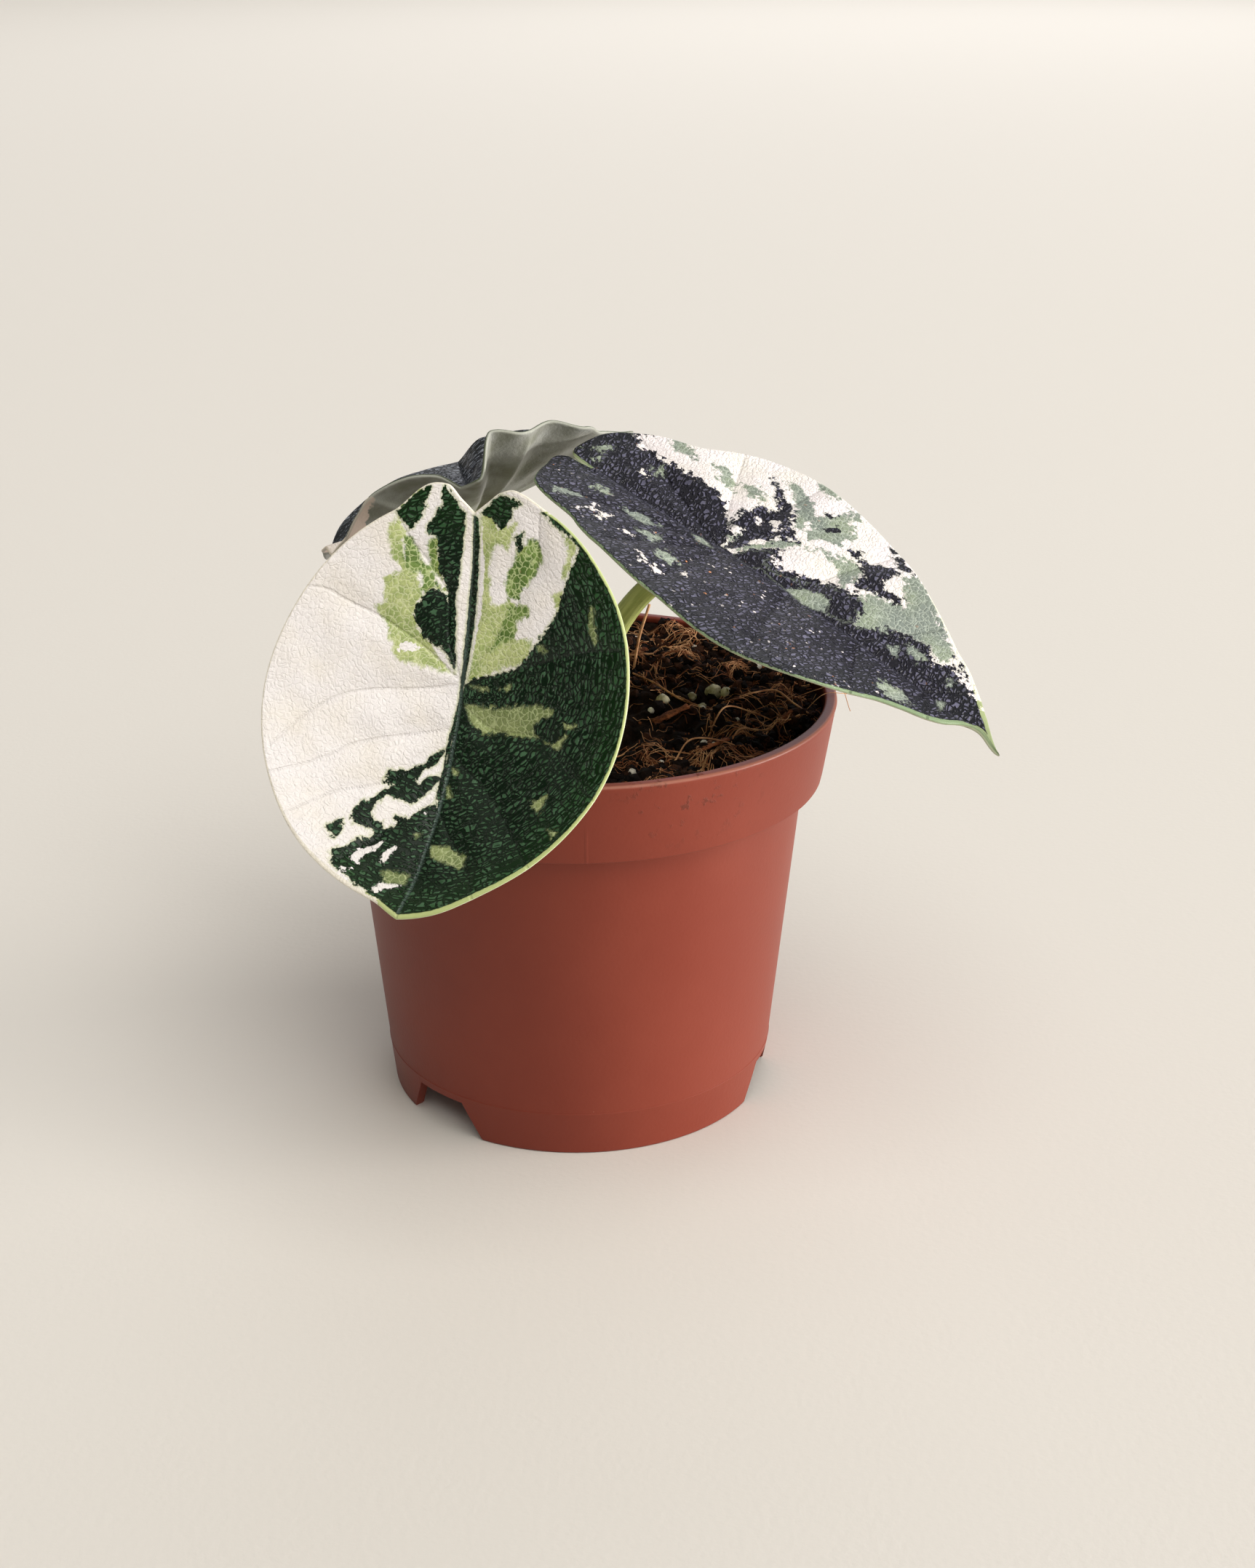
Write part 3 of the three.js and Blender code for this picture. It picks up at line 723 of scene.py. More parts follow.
FRONT_FORM = BladeForm(
    attach=(-22.4, -54, 118.9), yaw=-104, pitch=67.3, roll=-11, fold=7.3,
    side_curl=-0.0036, tip_curl=-0.013, lobe_curl=-0.0024,
    angles=(0, 8, 18, 34, 56, 82, 108, 132, 152, 166, 171, 175, 180),
    right=(54.5, 51.5, 50.5, 49, 46, 43, 40, 38.5, 38, 41, 40.2, 37, 34),
    left=(54.5, 53.5, 51, 48, 45, 42, 40.5, 39, 39, 40, 38.7, 36.5, 34),
    right_wave=(0, 0, 0, 0, 0.5, 0, -0.5, 0, 0.6, 0, 0, 0, 0),
    left_wave=(0, 0, 0, -0.5, 0, 0.6, 0, -0.6, 0, 0.5, 0.3, 0, 0),
    stalk=((-3.4, -3.9, 88.3), (-6.5, -13, 104), (-13, -30, 116.5), (-19, -45, 119.5)),
)
RIGHT_FORM = BladeForm(
    attach=(32, -18.3, 136.3), yaw=-34.8, pitch=20.5, roll=-4.5, fold=14.3,
    side_curl=0.0049, tip_curl=0.0025, lobe_curl=0.0007, tip_sway=-2.4,
    angles=(0, 0.6, 2, 4, 8, 12, 18, 34, 56, 82, 108, 132, 152, 166, 175, 178.5, 180),
    right=(77, 68.5, 66.3, 65, 61.5, 57.8, 54.2, 50.5, 43, 35, 33, 34, 43, 43.5, 44.5, 43, 36.5),
    left=(77, 75, 71.2, 68.8, 65.6, 61.6, 55.8, 45.5, 39.5, 36, 36.5, 34.5, 41.5, 45, 44.5, 43, 36.5),
    right_wave=(0, 0, 0, 0, 0, 0, 0, 0.8, -0.6, 0, 0.5, -0.5, 0.4, 0, 0, 0, 0),
    left_wave=(0, 0, 0, 0, 0, 0, -0.6, 0.6, -0.6, 0.6, -0.4, 0.4, 0, 0, 0, 0, 0),
    stalk=((2.3, 0.6, 88.3), (5, -2.5, 102), (10.7, -8, 116.9), (18.5, -12.5, 126.8),
           (27.3, -16.4, 131.4)),
)
BACK_FORM = BladeForm(
    attach=(-25.7, 33, 131.2), yaw=92.5, pitch=16, roll=19.5, fold=6,
    side_curl=0.0008, tip_curl=-0.0069, lobe_curl=-0.0088,
    angles=(0, 8, 18, 40, 62, 84, 104, 120, 134, 146, 156, 166, 174, 180),
    right=(61.5, 58.5, 55.5, 49, 45, 43, 41.5, 40, 43.5, 42.5, 43.5, 44.5, 44, 36.5),
    left=(61.5, 58.5, 55, 49.5, 43, 37.5, 36.5, 38.5, 41, 43, 45, 44, 41.5, 36.5),
    right_wave=(0, 5, 4.5, 1, 0, 0, 0, 1, 1, 4.4, 2.8, 5, -4.8, -1.8),
    left_wave=(0, 2, 3.5, 1, -3.5, -0.5, -0.5, -3.8, -3.8, -1, 1, 1.8, 1, -1.8),
    stalk=((-4.6, 4, 88.3), (-9.5, 9, 102), (-16.5, 18, 116), (-22.6, 28, 124.4)),
)

# Painted patches and ribs, in a blade's own millimetres: the first number runs from the
# stalk to the tip, the second to the blade's right
Patches = tuple[tuple[Spot, ...], ...]
FRONT_RIBS: Patches = (
    ((1, 0.5), (-6, 10), (-11.5, 20), (-14, 26.5), (-16.5, 32), (-16.5, 37.5)),
    ((1.5, 0.5), (3, 8.5), (4, 18.5), (5.5, 25), (8.5, 30), (13, 34.5), (20, 39)),
    ((11, 1.5), (13, 10.5), (16.5, 22), (20.5, 27.5), (26.5, 38)),
    ((15.5, 1.5), (21, 9), (23.5, 12.5), (26, 19), (28, 24), (35, 32)),
    ((24, 1), (28, 4), (32.5, 8.5), (38, 12.5), (44.5, 18.5)),
    ((1, 0.5), (-7.5, 4), (-16.5, 5), (-23.5, 10), (-28, 14), (-33, 17)),
    ((1, 0), (-7, -5.5), (-14, -10.5), (-19, -13.5), (-22.5, -15.5), (-29, -16), (-34, -16)),
    ((1.5, 0), (-1, -8.5), (-3.5, -17.5), (-6, -26.5), (-7.5, -39.5)),
    ((5.5, 0), (10.5, -9), (11.5, -19.5), (15.5, -26), (20, -30.5), (25.5, -37)),
    ((17, 0), (20.5, -6), (24.5, -11), (29, -15.5), (35.5, -21), (42.5, -27)),
    ((28.5, 0), (33.5, -4), (39, -9), (43.5, -12.5), (50, -16)),
)
FRONT_PALE: Patches = (
    ((-30.5, 18.5), (-32.5, 16.5), (-29.5, 14.5), (-27.5, 15.5), (-24, 15), (-22, 14), (-21, 11.5),
     (-16.5, 10.5), (-12.5, 12), (-9.5, 11), (-7, 8.5), (-3, 5.5), (-0.5, 2), (-1, 6), (-2, 12), (-3, 15),
     (-7, 17.5), (-9, 17.5), (-13.5, 21), (-14.5, 19), (-19.5, 19), (-21.5, 15), (-24.5, 18)),
    ((-33.5, -1.5), (-34, -4), (-31, -6.5), (-32.5, -11), (-28.5, -9.5), (-26, -9), (-28.5, -6),
     (-23.5, -4.5), (-15.5, -5.5), (-15, -7), (-16.5, -9.5), (-15.5, -11.5), (-15, -16), (-11.5, -12),
     (-8.5, -11.5), (-8.5, -17), (-5.5, -16), (-3.5, -14), (-2, -8.5), (1, -1), (-8.5, -2), (-22, -2.5)),
    ((-30, -22), (-29.5, -24), (-28, -26), (-24.5, -24.5), (-21, -23.5), (-21.5, -22.5), (-26.5, -23.5)),
    ((-18, -20.5), (-19.5, -23), (-15, -22.5), (-14.5, -21.5)),
)
FRONT_GAPS: Patches = (
    ((-6.5, 7.5), (-6.5, 6.5), (-4, 4.5), (-2.5, 3.5), (-3.5, 5.5)),
    ((-6, 15), (-6.5, 12.5), (-5.5, 10), (-4.5, 12), (-4.5, 14.5)),
    ((-33.5, -2), (-28.5, -2.5), (-22, -3.5), (-15, -3.5), (-3, -1.5), (0, -1), (-9.5, -1.5), (-22, -2)),
)
FRONT_NETTED: Patches = (
    ((-27.5, 15.5), (-29, 14), (-27, 13), (-23, 10.5), (-18.5, 6.5), (-17.5, 5.5), (-18, 8.5),
     (-16.5, 10.5), (-21, 11.5), (-21.5, 14), (-24, 15)),
    ((-25, 10.5), (-28.5, 9.5), (-28.5, 7.5), (-25.5, 8), (-18.5, 6), (-22, 9)),
    ((-22, -9), (-27, -11.5), (-27.5, -13), (-29, -13.5), (-29, -16), (-25, -17.5), (-19.5, -13.5),
     (-16.5, -12), (-17, -9.5), (-19, -8.5)),
    ((-15, -9.5), (-15.5, -12), (-14.5, -16), (-11.5, -12), (-9, -11.5), (-5.5, -6), (-10, -7.5)),
)
FRONT_DARK: Patches = (
    ((-33.5, 17), (-38, 12.5), (-39, 10), (-37, 10.5), (-33, 11.5), (-30, 14), (-31, 15.5)),
    ((-39, 7), (-38.5, 5.5), (-35, 3.5), (-34, 2), (-24.5, 2.5), (-16.5, 3), (-7.5, 2.5), (-1, 2), (-3, 3.5),
     (-14.5, 5.5), (-17.5, 5), (-21.5, 7.5), (-28, 7.5), (-29.5, 10), (-31, 10), (-35, 7.5)),
    ((-18, 8.5), (-17.5, 6.5), (-16, 5), (-8, 3.5), (-1.5, 2), (-3, 3.5), (-6, 5.5), (-7.5, 9.5), (-12, 12),
     (-14.5, 11.5)),
    ((-33.5, 0), (-33, -1), (-29.5, -1.5), (-16, -2), (-3.5, -1), (0, -0.5), (8, 0), (16, 1), (25.5, 0.5),
     (26.5, 1.5), (13.5, 1.5), (5, 0.5), (-6.5, 0.5), (-20.5, 0), (-28.5, 0)),
    ((-37, -4.5), (-38, -7), (-36.5, -9.5), (-36.5, -12), (-35, -9.5), (-33, -9.5), (-30.5, -7),
     (-33, -4.5), (-34, -1.5), (-36, -4)),
    ((-29, -10.5), (-30.5, -12.5), (-27.5, -12.5), (-26, -11.5)),
    ((1.5, -0.5), (0, -2.5), (-0.5, -6), (-2, -11), (-3.5, -14), (-7.5, -17), (-9.5, -19), (-14, -22),
     (-19, -23), (-22.5, -24.5), (-25.5, -25.5), (-27.5, -26), (-30, -23.5), (-34.5, -16.5), (-36.5, -30),
     (-15, -50.5), (15.5, -51), (46.5, -50), (65, -23), (59.5, -2.5), (51, 5.5), (48, 2.5), (42, -0.5),
     (39.5, -1.5), (31.5, 0.5), (19, 1), (12, 0.5)),
    ((15, 1.5), (17, 5), (19, 6.5), (20.5, 9), (21, 13), (24, 13.5), (24, 11.5), (28, 15), (29.5, 17),
     (31.5, 18.5), (34.5, 17), (34, 14.5), (32.5, 13.5), (29.5, 14), (27, 12), (27.5, 7), (27, 5.5),
     (22, 1.5), (21, 1.5), (21.5, 4), (23, 5.5), (22.5, 7), (20.5, 5.5), (18.5, 3)),
    ((27, 1), (28.5, 3.5), (31, 6), (31, 9), (32.5, 8), (35, 10.5), (32.5, 11.5), (32.5, 13), (34.5, 14),
     (35, 12.5), (37, 13), (37.5, 15.5), (39.5, 16.5), (41, 19.5), (44, 19), (48.5, 11), (51, 5.5),
     (50, 0.5), (41.5, -4.5)),
    ((36, 23), (34, 19.5), (36, 19), (38.5, 20), (37, 22)),
)
FRONT_CREAM: Patches = (
    ((42, 15.5), (39.5, 14.5), (39, 13), (36.5, 9.5), (38, 9.5), (42, 13), (43.5, 12.5), (43.5, 14)),
    ((40, 9), (36.5, 5.5), (40, 7), (42.5, 7.5), (42, 8.5)),
    ((29.5, 3.5), (29, 2), (30, 2.5)),
    ((48.5, 8), (47, 7), (46, 1.5), (49, 6.5)),
    ((45, 16), (44.5, 13.5), (46, 15)),
)
FRONT_SAGE: Patches = (
    ((5.5, -1), (6, -9.5), (5, -18), (5.5, -23.5), (6.5, -23.5), (9, -19), (10.5, -19), (11.5, -20.5),
     (12, -18.5), (11, -12), (11.5, -6.5), (9, -3)),
    ((8.5, -26.5), (9, -30), (9.5, -29.5), (9.5, -27)),
    ((12.5, -22), (13, -25), (11, -27.5), (14, -26.5)),
    ((19, -0.5), (19.5, -2), (20.5, -2.5), (20.5, -1.5)),
    ((23, 0), (23, -1), (25.5, -2.5), (25.5, -1)),
    ((25.5, -22), (24.5, -25.5), (27, -25), (28.5, -24.5)),
    ((32, -28), (32.5, -30.5), (34.5, -29.5)),
    ((36.5, -1), (36.5, -5), (38.5, -10.5), (41.5, -9.5), (39, -2)),
    ((44.5, 7.5), (43.5, 6.5), (43.5, 1.5), (46, 1.5), (46.5, 5.5)),
    ((34.5, 3.5), (34, 2), (35.5, 3)),
    ((-16, -30.5), (-14, -31.5), (-9, -32.5), (-8.5, -32), (-12, -30)),
    ((1.5, -1.5), (2, -6.5), (2.5, -6.5), (2, -2)),
    ((2, -9.5), (1, -12), (2.5, -11.5)),
    ((-7.5, -17.5), (-7.5, -19.5), (-6.5, -20), (-6.5, -18)),
)
RIGHT_CREAM: Patches = (
    ((-40.5, -20.5), (-35, -15), (-31.5, -16), (-29, -14.5), (-25, -16), (-21.5, -15.5), (-15, -15),
     (-9.5, -13.5), (-5.5, -10.5), (-1.5, -6), (-0.5, -1), (3, -0.5), (5, -4.5), (10, -10.5), (11, -6),
     (13.5, -4), (20.5, -9), (24, -11), (27, -9.5), (30, -10.5), (33.5, -9), (32.5, -6.5), (35, -3),
     (37.5, -7.5), (41, -10.5), (49, -12), (52.5, -8.5), (56, -11), (62.5, -9), (66.5, -7.5), (77, 0.5),
     (73, -13), (43, -31.5), (18, -43.5), (-11, -52), (-27.5, -33.5), (-43, -26)),
)
RIGHT_SAGE: Patches = (
    ((-31.5, -21), (-30, -24), (-26.5, -23.5), (-23, -20), (-28, -19)),
    ((-18.5, -21.5), (-16, -24), (-11.5, -21), (-11, -18.5), (-14, -18)),
    ((-10, -21.5), (-7.5, -24), (-4, -23), (-3, -20), (-7, -19.5)),
    ((-4.5, -30), (-1, -31.5), (6, -27.5), (8, -24.5), (8.5, -18), (5, -20.5), (1.5, -26)),
    ((1.5, -36), (4, -37), (7.5, -35.5), (7, -32.5), (4.5, -33)),
    ((7.5, -25.5), (11.5, -29.5), (11.5, -35), (14, -34.5), (15, -29.5), (17.5, -27.5), (17.5, -20.5),
     (12.5, -18.5), (10, -17.5)),
    ((-1.5, -5.5), (-0.5, -10), (1.5, -11), (2, -6.5), (1.5, -2)),
    ((2.5, -1), (3.5, -6), (6.5, -11.5), (11, -15.5), (12, -14.5), (5, -4.5)),
    ((10, -10.5), (14.5, -15.5), (23.5, -20.5), (26, -18.5), (26.5, -10), (21, -14.5), (12.5, -13)),
    ((30, -10.5), (30.5, -14), (38, -17.5), (32, -24.5), (35, -26.5), (44, -22), (54, -15.5), (53, -9.5),
     (49, -12), (41, -10.5), (35, -3), (32.5, -6.5)),
    ((17.5, -0.5), (19.5, -4.5), (27, -6), (28, -2), (23.5, 0.5)),
)
RIGHT_DARK: Patches = (
    ((-7, -28.5), (-4.5, -28.5), (-2.5, -26), (1.5, -25), (5, -21), (5.5, -17.5), (11.5, -15), (8, -13),
     (3.5, -8.5), (2.5, -2.5), (0.5, -1), (-1, -10), (-4, -9), (-4.5, -14.5), (-2.5, -16), (-4, -19.5),
     (-1, -19.5), (0.5, -20.5), (-1.5, -24)),
    ((12.5, -23), (12.5, -26), (14, -25), (14.5, -23.5)),
    ((9, -27.5), (10, -28.5), (10.5, -27.5)),
    ((22, -21), (27.5, -23.5), (31.5, -25), (31, -19.5), (32.5, -17.5), (37, -18.5), (36.5, -16.5),
     (31.5, -15.5), (27.5, -12), (27.5, -15), (26, -18.5)),
    ((25, -31), (26.5, -30.5), (33.5, -26.5), (30.5, -25.5), (27.5, -28.5)),
    ((20, -21.5), (21.5, -23.5), (22, -22), (21, -20.5)),
    ((9.5, -2.5), (13, -2.5), (18, -5), (21.5, -9), (25, -9), (30, -10.5), (33.5, -9), (32, -7.5),
     (33.5, -5), (32.5, -2.5), (28, -2), (26.5, -5.5), (23.5, -6), (19.5, -4), (17.5, -0.5), (14.5, -0.5)),
    ((3.5, -0.5), (5, -4), (8.5, -8), (9.5, -7), (9, -3.5), (10, -2), (8, 0)),
    ((54, -15), (59, -11.5), (57.5, -11.5)),
    ((-38.5, -18), (-33, -22.5), (-35, -20.5)),
)
RIGHT_ISLANDS: Patches = (
    ((9.5, -9), (12.5, -12.5), (16, -15.5), (21, -14.5), (23, -12.5), (20.5, -9), (13, -4.5), (11, -6)),
    ((31, -19), (32, -22.5), (34.5, -20), (33, -18.5)),
    ((-1, -14.5), (-0.5, -15.5), (0.5, -14)),
    ((2, -16), (3.5, -17.5), (5.5, -15.5), (4.5, -14)),
    ((-21.5, 18.5), (-20.5, 15), (-19.5, 18), (-20.5, 19.5)),
    ((-26, 15), (-24.5, 15), (-22.5, 16.5), (-23, 18)),
    ((-15, 17.5), (-12.5, 17.5), (-12.5, 19)),
    ((-5.5, 24.5), (-4.5, 23.5), (-3, 26), (-3.5, 27)),
    ((-2, 24), (1.5, 25), (0, 26.5)),
    ((3, 21), (4, 19), (4.5, 21.5)),
    ((-28, -7.5), (-27, -8), (-26.5, -7)),
    ((-25.5, 20.5), (-24.5, 18.5), (-25, 21)),
)
RIGHT_SAGE_ON_DARK: Patches = (
    ((42.5, -5), (44.5, -6.5), (46, -3.5), (44.5, -3.5)),
    ((45.5, -8.5), (47.5, -9.5), (50, -8), (50.5, -5.5), (47.5, -7)),
    ((48.5, 9.5), (50, 7), (52.5, 6), (57, 7.5), (56, 10), (54, 11.5), (50.5, 12)),
    ((59, -0.5), (61, -1.5), (62, 2.5)),
    ((57, -6.5), (58, -8), (58.5, -6.5)),
    ((-34, 18.5), (-32.5, 15), (-28.5, 14.5), (-29.5, 19), (-32, 20.5)),
    ((-30.5, 8.5), (-30, 5), (-26, 7), (-27.5, 9)),
    ((-21.5, 8), (-19, 5.5), (-13, 5.5), (-13.5, 9.5), (-17, 10)),
    ((-13, 14.5), (-11.5, 11), (-8.5, 12), (-8.5, 15.5)),
    ((-5, 18), (-3, 16), (0.5, 17), (-0.5, 19.5), (-3, 21)),
    ((-7.5, 1), (-5.5, -0.5), (-1, 1.5), (-2.5, 2.5), (-5.5, 2)),
    ((-42.5, -4.5), (-40, -9.5), (-38, -9.5), (-38.5, -7)),
    ((-39, -3), (-37.5, -5), (-37, -3)),
    ((-27.5, -11), (-26.5, -13), (-24.5, -11.5), (-26, -9.5)),
)
BACK_CREAM: Patches = (
    ((4, -46), (4, -30), (-14, -28), (-28, -24), (-40, -19), (-44, -26), (-30, -44)),
)
BACK_DARK: Patches = (
    ((-30, -29), (-33, -25), (-38, -22), (-40, -28)),
)


# A depth that is surely outside every patch, in millimetres
FAR_OUTSIDE = -99.0
FRECKLE = srgb(214, 148, 104)


@dataclass(frozen=True)
class BladeFinish:
    """The painted upper face of a blade.

    layers are laid over the ground in order, each where its own depth number is above zero.
    seed moves the noise along the blade, and raggedness breaks the layers' edges up. flecks and
    freckles are the shares of cells with a white or an orange speck. relief is the height of the
    wrinkles in millimetres, dark_roughness is how rough the dark tissue is, and gloss is how
    strongly the whole face shines.
    """

    name: str
    ground: Tone
    layers: tuple[tuple[Tone, Patches], ...]
    colours: BladeColours
    seed: float
    raggedness: float = 1.0
    flecks: float = 0.0
    freckles: float = 0.0
    relief: float = 0.85
    dark_roughness: float = 0.34
    gloss: float = 0.36

    def depths(self, spots: Array) -> dict[str, Array]:
        """How deep each spot of the blade lies in each layer's patches."""
        found = {}
        for number, (_, patches) in enumerate(self.layers):
            deepest = np.full(len(spots), FAR_OUTSIDE)
            for outline in patches:
                deepest = np.maximum(deepest, depth_inside(spots, outline))
            found[f"layer_{number}"] = deepest
        return found

    def _tissue(self, sheet: FinishSheet, tone: Tone, parts: Mapping[str, Value]) -> bpy.types.NodeSocket:
        """The colour of one tissue all over the blade."""
        c = self.colours
        if tone is Tone.CREAM:
            return sheet.mix(parts["mottle"] * 0.6, c.cream, c.cream_shade)
        if tone is Tone.PALE:
            flesh = sheet.mix(parts["patchy"] * 0.6, c.pale, c.netted)
            return sheet.mix(parts["vein"] * 0.6, flesh, c.pale_vein)
        if tone is Tone.NETTED:
            flesh = sheet.mix(parts["patchy"] * 0.6, c.netted, c.dark_rim)
            return sheet.mix(parts["vein"] * 0.75, flesh, c.netted_vein)
        if tone is Tone.SAGE:
            flesh = sheet.mix(parts["mottle"] * 0.5, c.sage, c.pale)
            return sheet.mix(parts["vein"] * 0.7, flesh, c.sage_vein)
        flesh = sheet.mix(parts["rimward"], c.dark, c.dark_rim)
        # Painted highlight: the dark tissue is lighter on the crests of its wrinkles.
        lit = sheet.mix(parts["crest"] * (parts["patchy"] * 0.5 + 0.45), flesh, c.dark_crest_highlight)
        # Painted shade: the tissue is darker in the furrows between the crests.
        return sheet.mix((1 - parts["crest"]) * 0.8, lit, c.furrow_shade)

    def _specked(
        self, sheet: FinishSheet, colour: Feed, spot: Feed, share: Number, broad: Value
    ) -> bpy.types.NodeSocket:
        """Adds white flecks and orange freckles in loose clusters.

        Args:
            sheet: the material's sheet.
            colour: what is under them.
            spot: the place on the blade.
            share: where they may lie.
            broad: wide noise that gathers them.

        Returns:
            The colour with the specks on it.
        """
        white = sheet.specks(spot, 0.55, 0.42, self.flecks) * broad.rise(0.4, 0.6) * share
        colour = sheet.mix(white, colour, self.colours.cream)
        orange = sheet.specks(sheet.vector("ADD", spot, (40.0, 9.0, 0.0)), 0.42, 0.36, self.freckles)
        return sheet.mix(orange * broad.rise(0.62, 0.45) * (share * 0.8 + 0.2), colour, FRECKLE)

    def material(self) -> bpy.types.Material:
        """Builds the material, which reads the blade's own measures.

        Returns:
            The material of the upper face.
        """
        sheet, c = FinishSheet(self.name), self.colours
        spot = sheet.vector("ADD", sheet.place("blade_mm"), (self.seed, 0.0, 0.0))
        ripple = sheet.place("blade_ripple")
        edge, rib, across = (sheet.measure(name) for name in ("edge_mm", "rib_mm", "across_mm"))
        aside = across.most(0 - across)
        warp = sheet.node("ShaderNodeTexNoise", None, {"Vector": spot, "Scale": 0.7, "Detail": 2.0})
        bent = sheet.vector("ADD", spot, sheet.vector("SCALE", warp.outputs["Color"], 1.4))
        net = sheet.cell_edge(bent, 0.78)
        broad = sheet.noise(spot, 0.09, 3.0)
        fine = sheet.noise(spot, 0.45, 5.0, 0.65)
        crumbly = sheet.noise(spot, 1.3, 3.0, 0.6)
        worms = sheet.wave(ripple, 0.26, 9.0, 2.6)
        worms = worms.rise(0.2, 0.7) * sheet.cell_edge(bent, 0.6).rise(0.02, 0.16)
        calm = aside.rise(0.3, 6.0) * 0.8 + 0.2
        ragged = (sheet.cell_chance(bent, 0.78) - 0.5) + (fine - 0.5) * 4.0 + (crumbly - 0.5) * 2.2
        ragged = ragged * calm
        parts = {
            "mottle": broad.rise(0.35, 0.75),
            "patchy": sheet.noise(spot, 0.2, 4.0, 0.65).rise(0.4, 0.62),
            "vein": net.rise(0.12, 0.03),
            "rimward": (edge + (broad - 0.5) * 10.0).rise(12.0, 1.0),
            "crest": worms,
        }
        colour = self._tissue(sheet, self.ground, parts)
        darkness: Number = 1.0 if self.ground is Tone.DARK else 0.0
        for number, (tone, _) in enumerate(self.layers):
            depth = sheet.measure(f"layer_{number}") + ragged * self.raggedness
            # Half the width over which a patch's edge fades, in millimetres
            blur = 0.12 if tone in (Tone.DARK, Tone.CREAM) else 0.5
            cover = depth.rise(-blur, blur)
            if tone is Tone.DARK:
                colour = sheet.mix(depth.rise(-0.8, 0.0) * 0.5, colour, c.halo)
            colour = sheet.mix(cover, colour, self._tissue(sheet, tone, parts))
            darkness = cover * (1.0 if tone is Tone.DARK else 0.0) + (1 - cover) * darkness
        line = rib.rise(0.5, 0.1)
        # Painted shade along the sunken ribs, strong on the dark tissue and faint on the cream.
        colour = sheet.mix(line * (darkness * 0.3 + 0.04), colour, c.furrow_shade)
        colour = sheet.mix(aside.rise(0.6, 0.2) * darkness * 0.4, colour, c.spine)
        colour = self._specked(sheet, colour, bent, across.rise(2.0, 8.0) * darkness, broad)
        border = (edge - sheet.measure("margin_mm") + (fine - 0.5) * 0.5).rise(0.12, -0.12)
        rim = sheet.mix(across.rise(-2.0, 2.0), c.margin_left, c.margin_right)
        rim = sheet.mix(darkness, c.margin_on_cream, rim)
        colour = sheet.mix(border * 0.9, colour, rim)
        body = (1 - border) * (darkness * 0.92 + 0.08)
        roughness = crumbly * 0.15 + 0.43 + darkness * (self.dark_roughness - 0.5)
        grain = fine * (darkness * 0.15 + 0.05) + net.rise(0.0, 0.2) * 0.08 * (1 - darkness)
        height = worms * body * 0.8 + grain - line * 0.15
        return sheet.finish(colour, roughness, height, self.relief, {"Specular IOR Level": self.gloss})


@dataclass(frozen=True)
class UndersideFinish:
    """The dull lower face of a blade, with paler ribs and clouded shades.

    cream_layer names the measure of how deep a spot lies in the cream patches, where they show
    through.
    """

    name: str
    flesh: Colour
    shade: Colour
    rib: Colour
    cream: Colour
    cream_layer: str = ""

    def material(self) -> bpy.types.Material:
        """Builds the material of the lower face."""
        sheet = FinishSheet(self.name)
        spot = sheet.place("blade_mm")
        rib = sheet.measure("rib_mm")
        edge = sheet.measure("edge_mm")
        cloud = sheet.noise(spot, 0.12, 3.0)
        colour = sheet.mix(cloud.rise(0.3, 0.7), self.flesh, self.shade)
        if self.cream_layer:
            ragged = sheet.measure(self.cream_layer) + (sheet.noise(spot, 0.5, 3.0) - 0.5) * 4.0
            colour = sheet.mix(ragged.rise(-0.3, 0.3), colour, self.cream)
        colour = sheet.mix(rib.rise(3.4, 0.2) * 0.25, colour, self.rib)
        colour = sheet.mix(edge.rise(0.45, 0.15) * 0.6, colour, self.rib)
        grain = sheet.noise(spot, 1.4, 3.0)
        return sheet.finish(colour, grain * 0.2 + 0.5, grain, 0.12, {"Specular IOR Level": 0.35})


# How many angles a blade's rim is measured at
RIM_SAMPLES = 1441


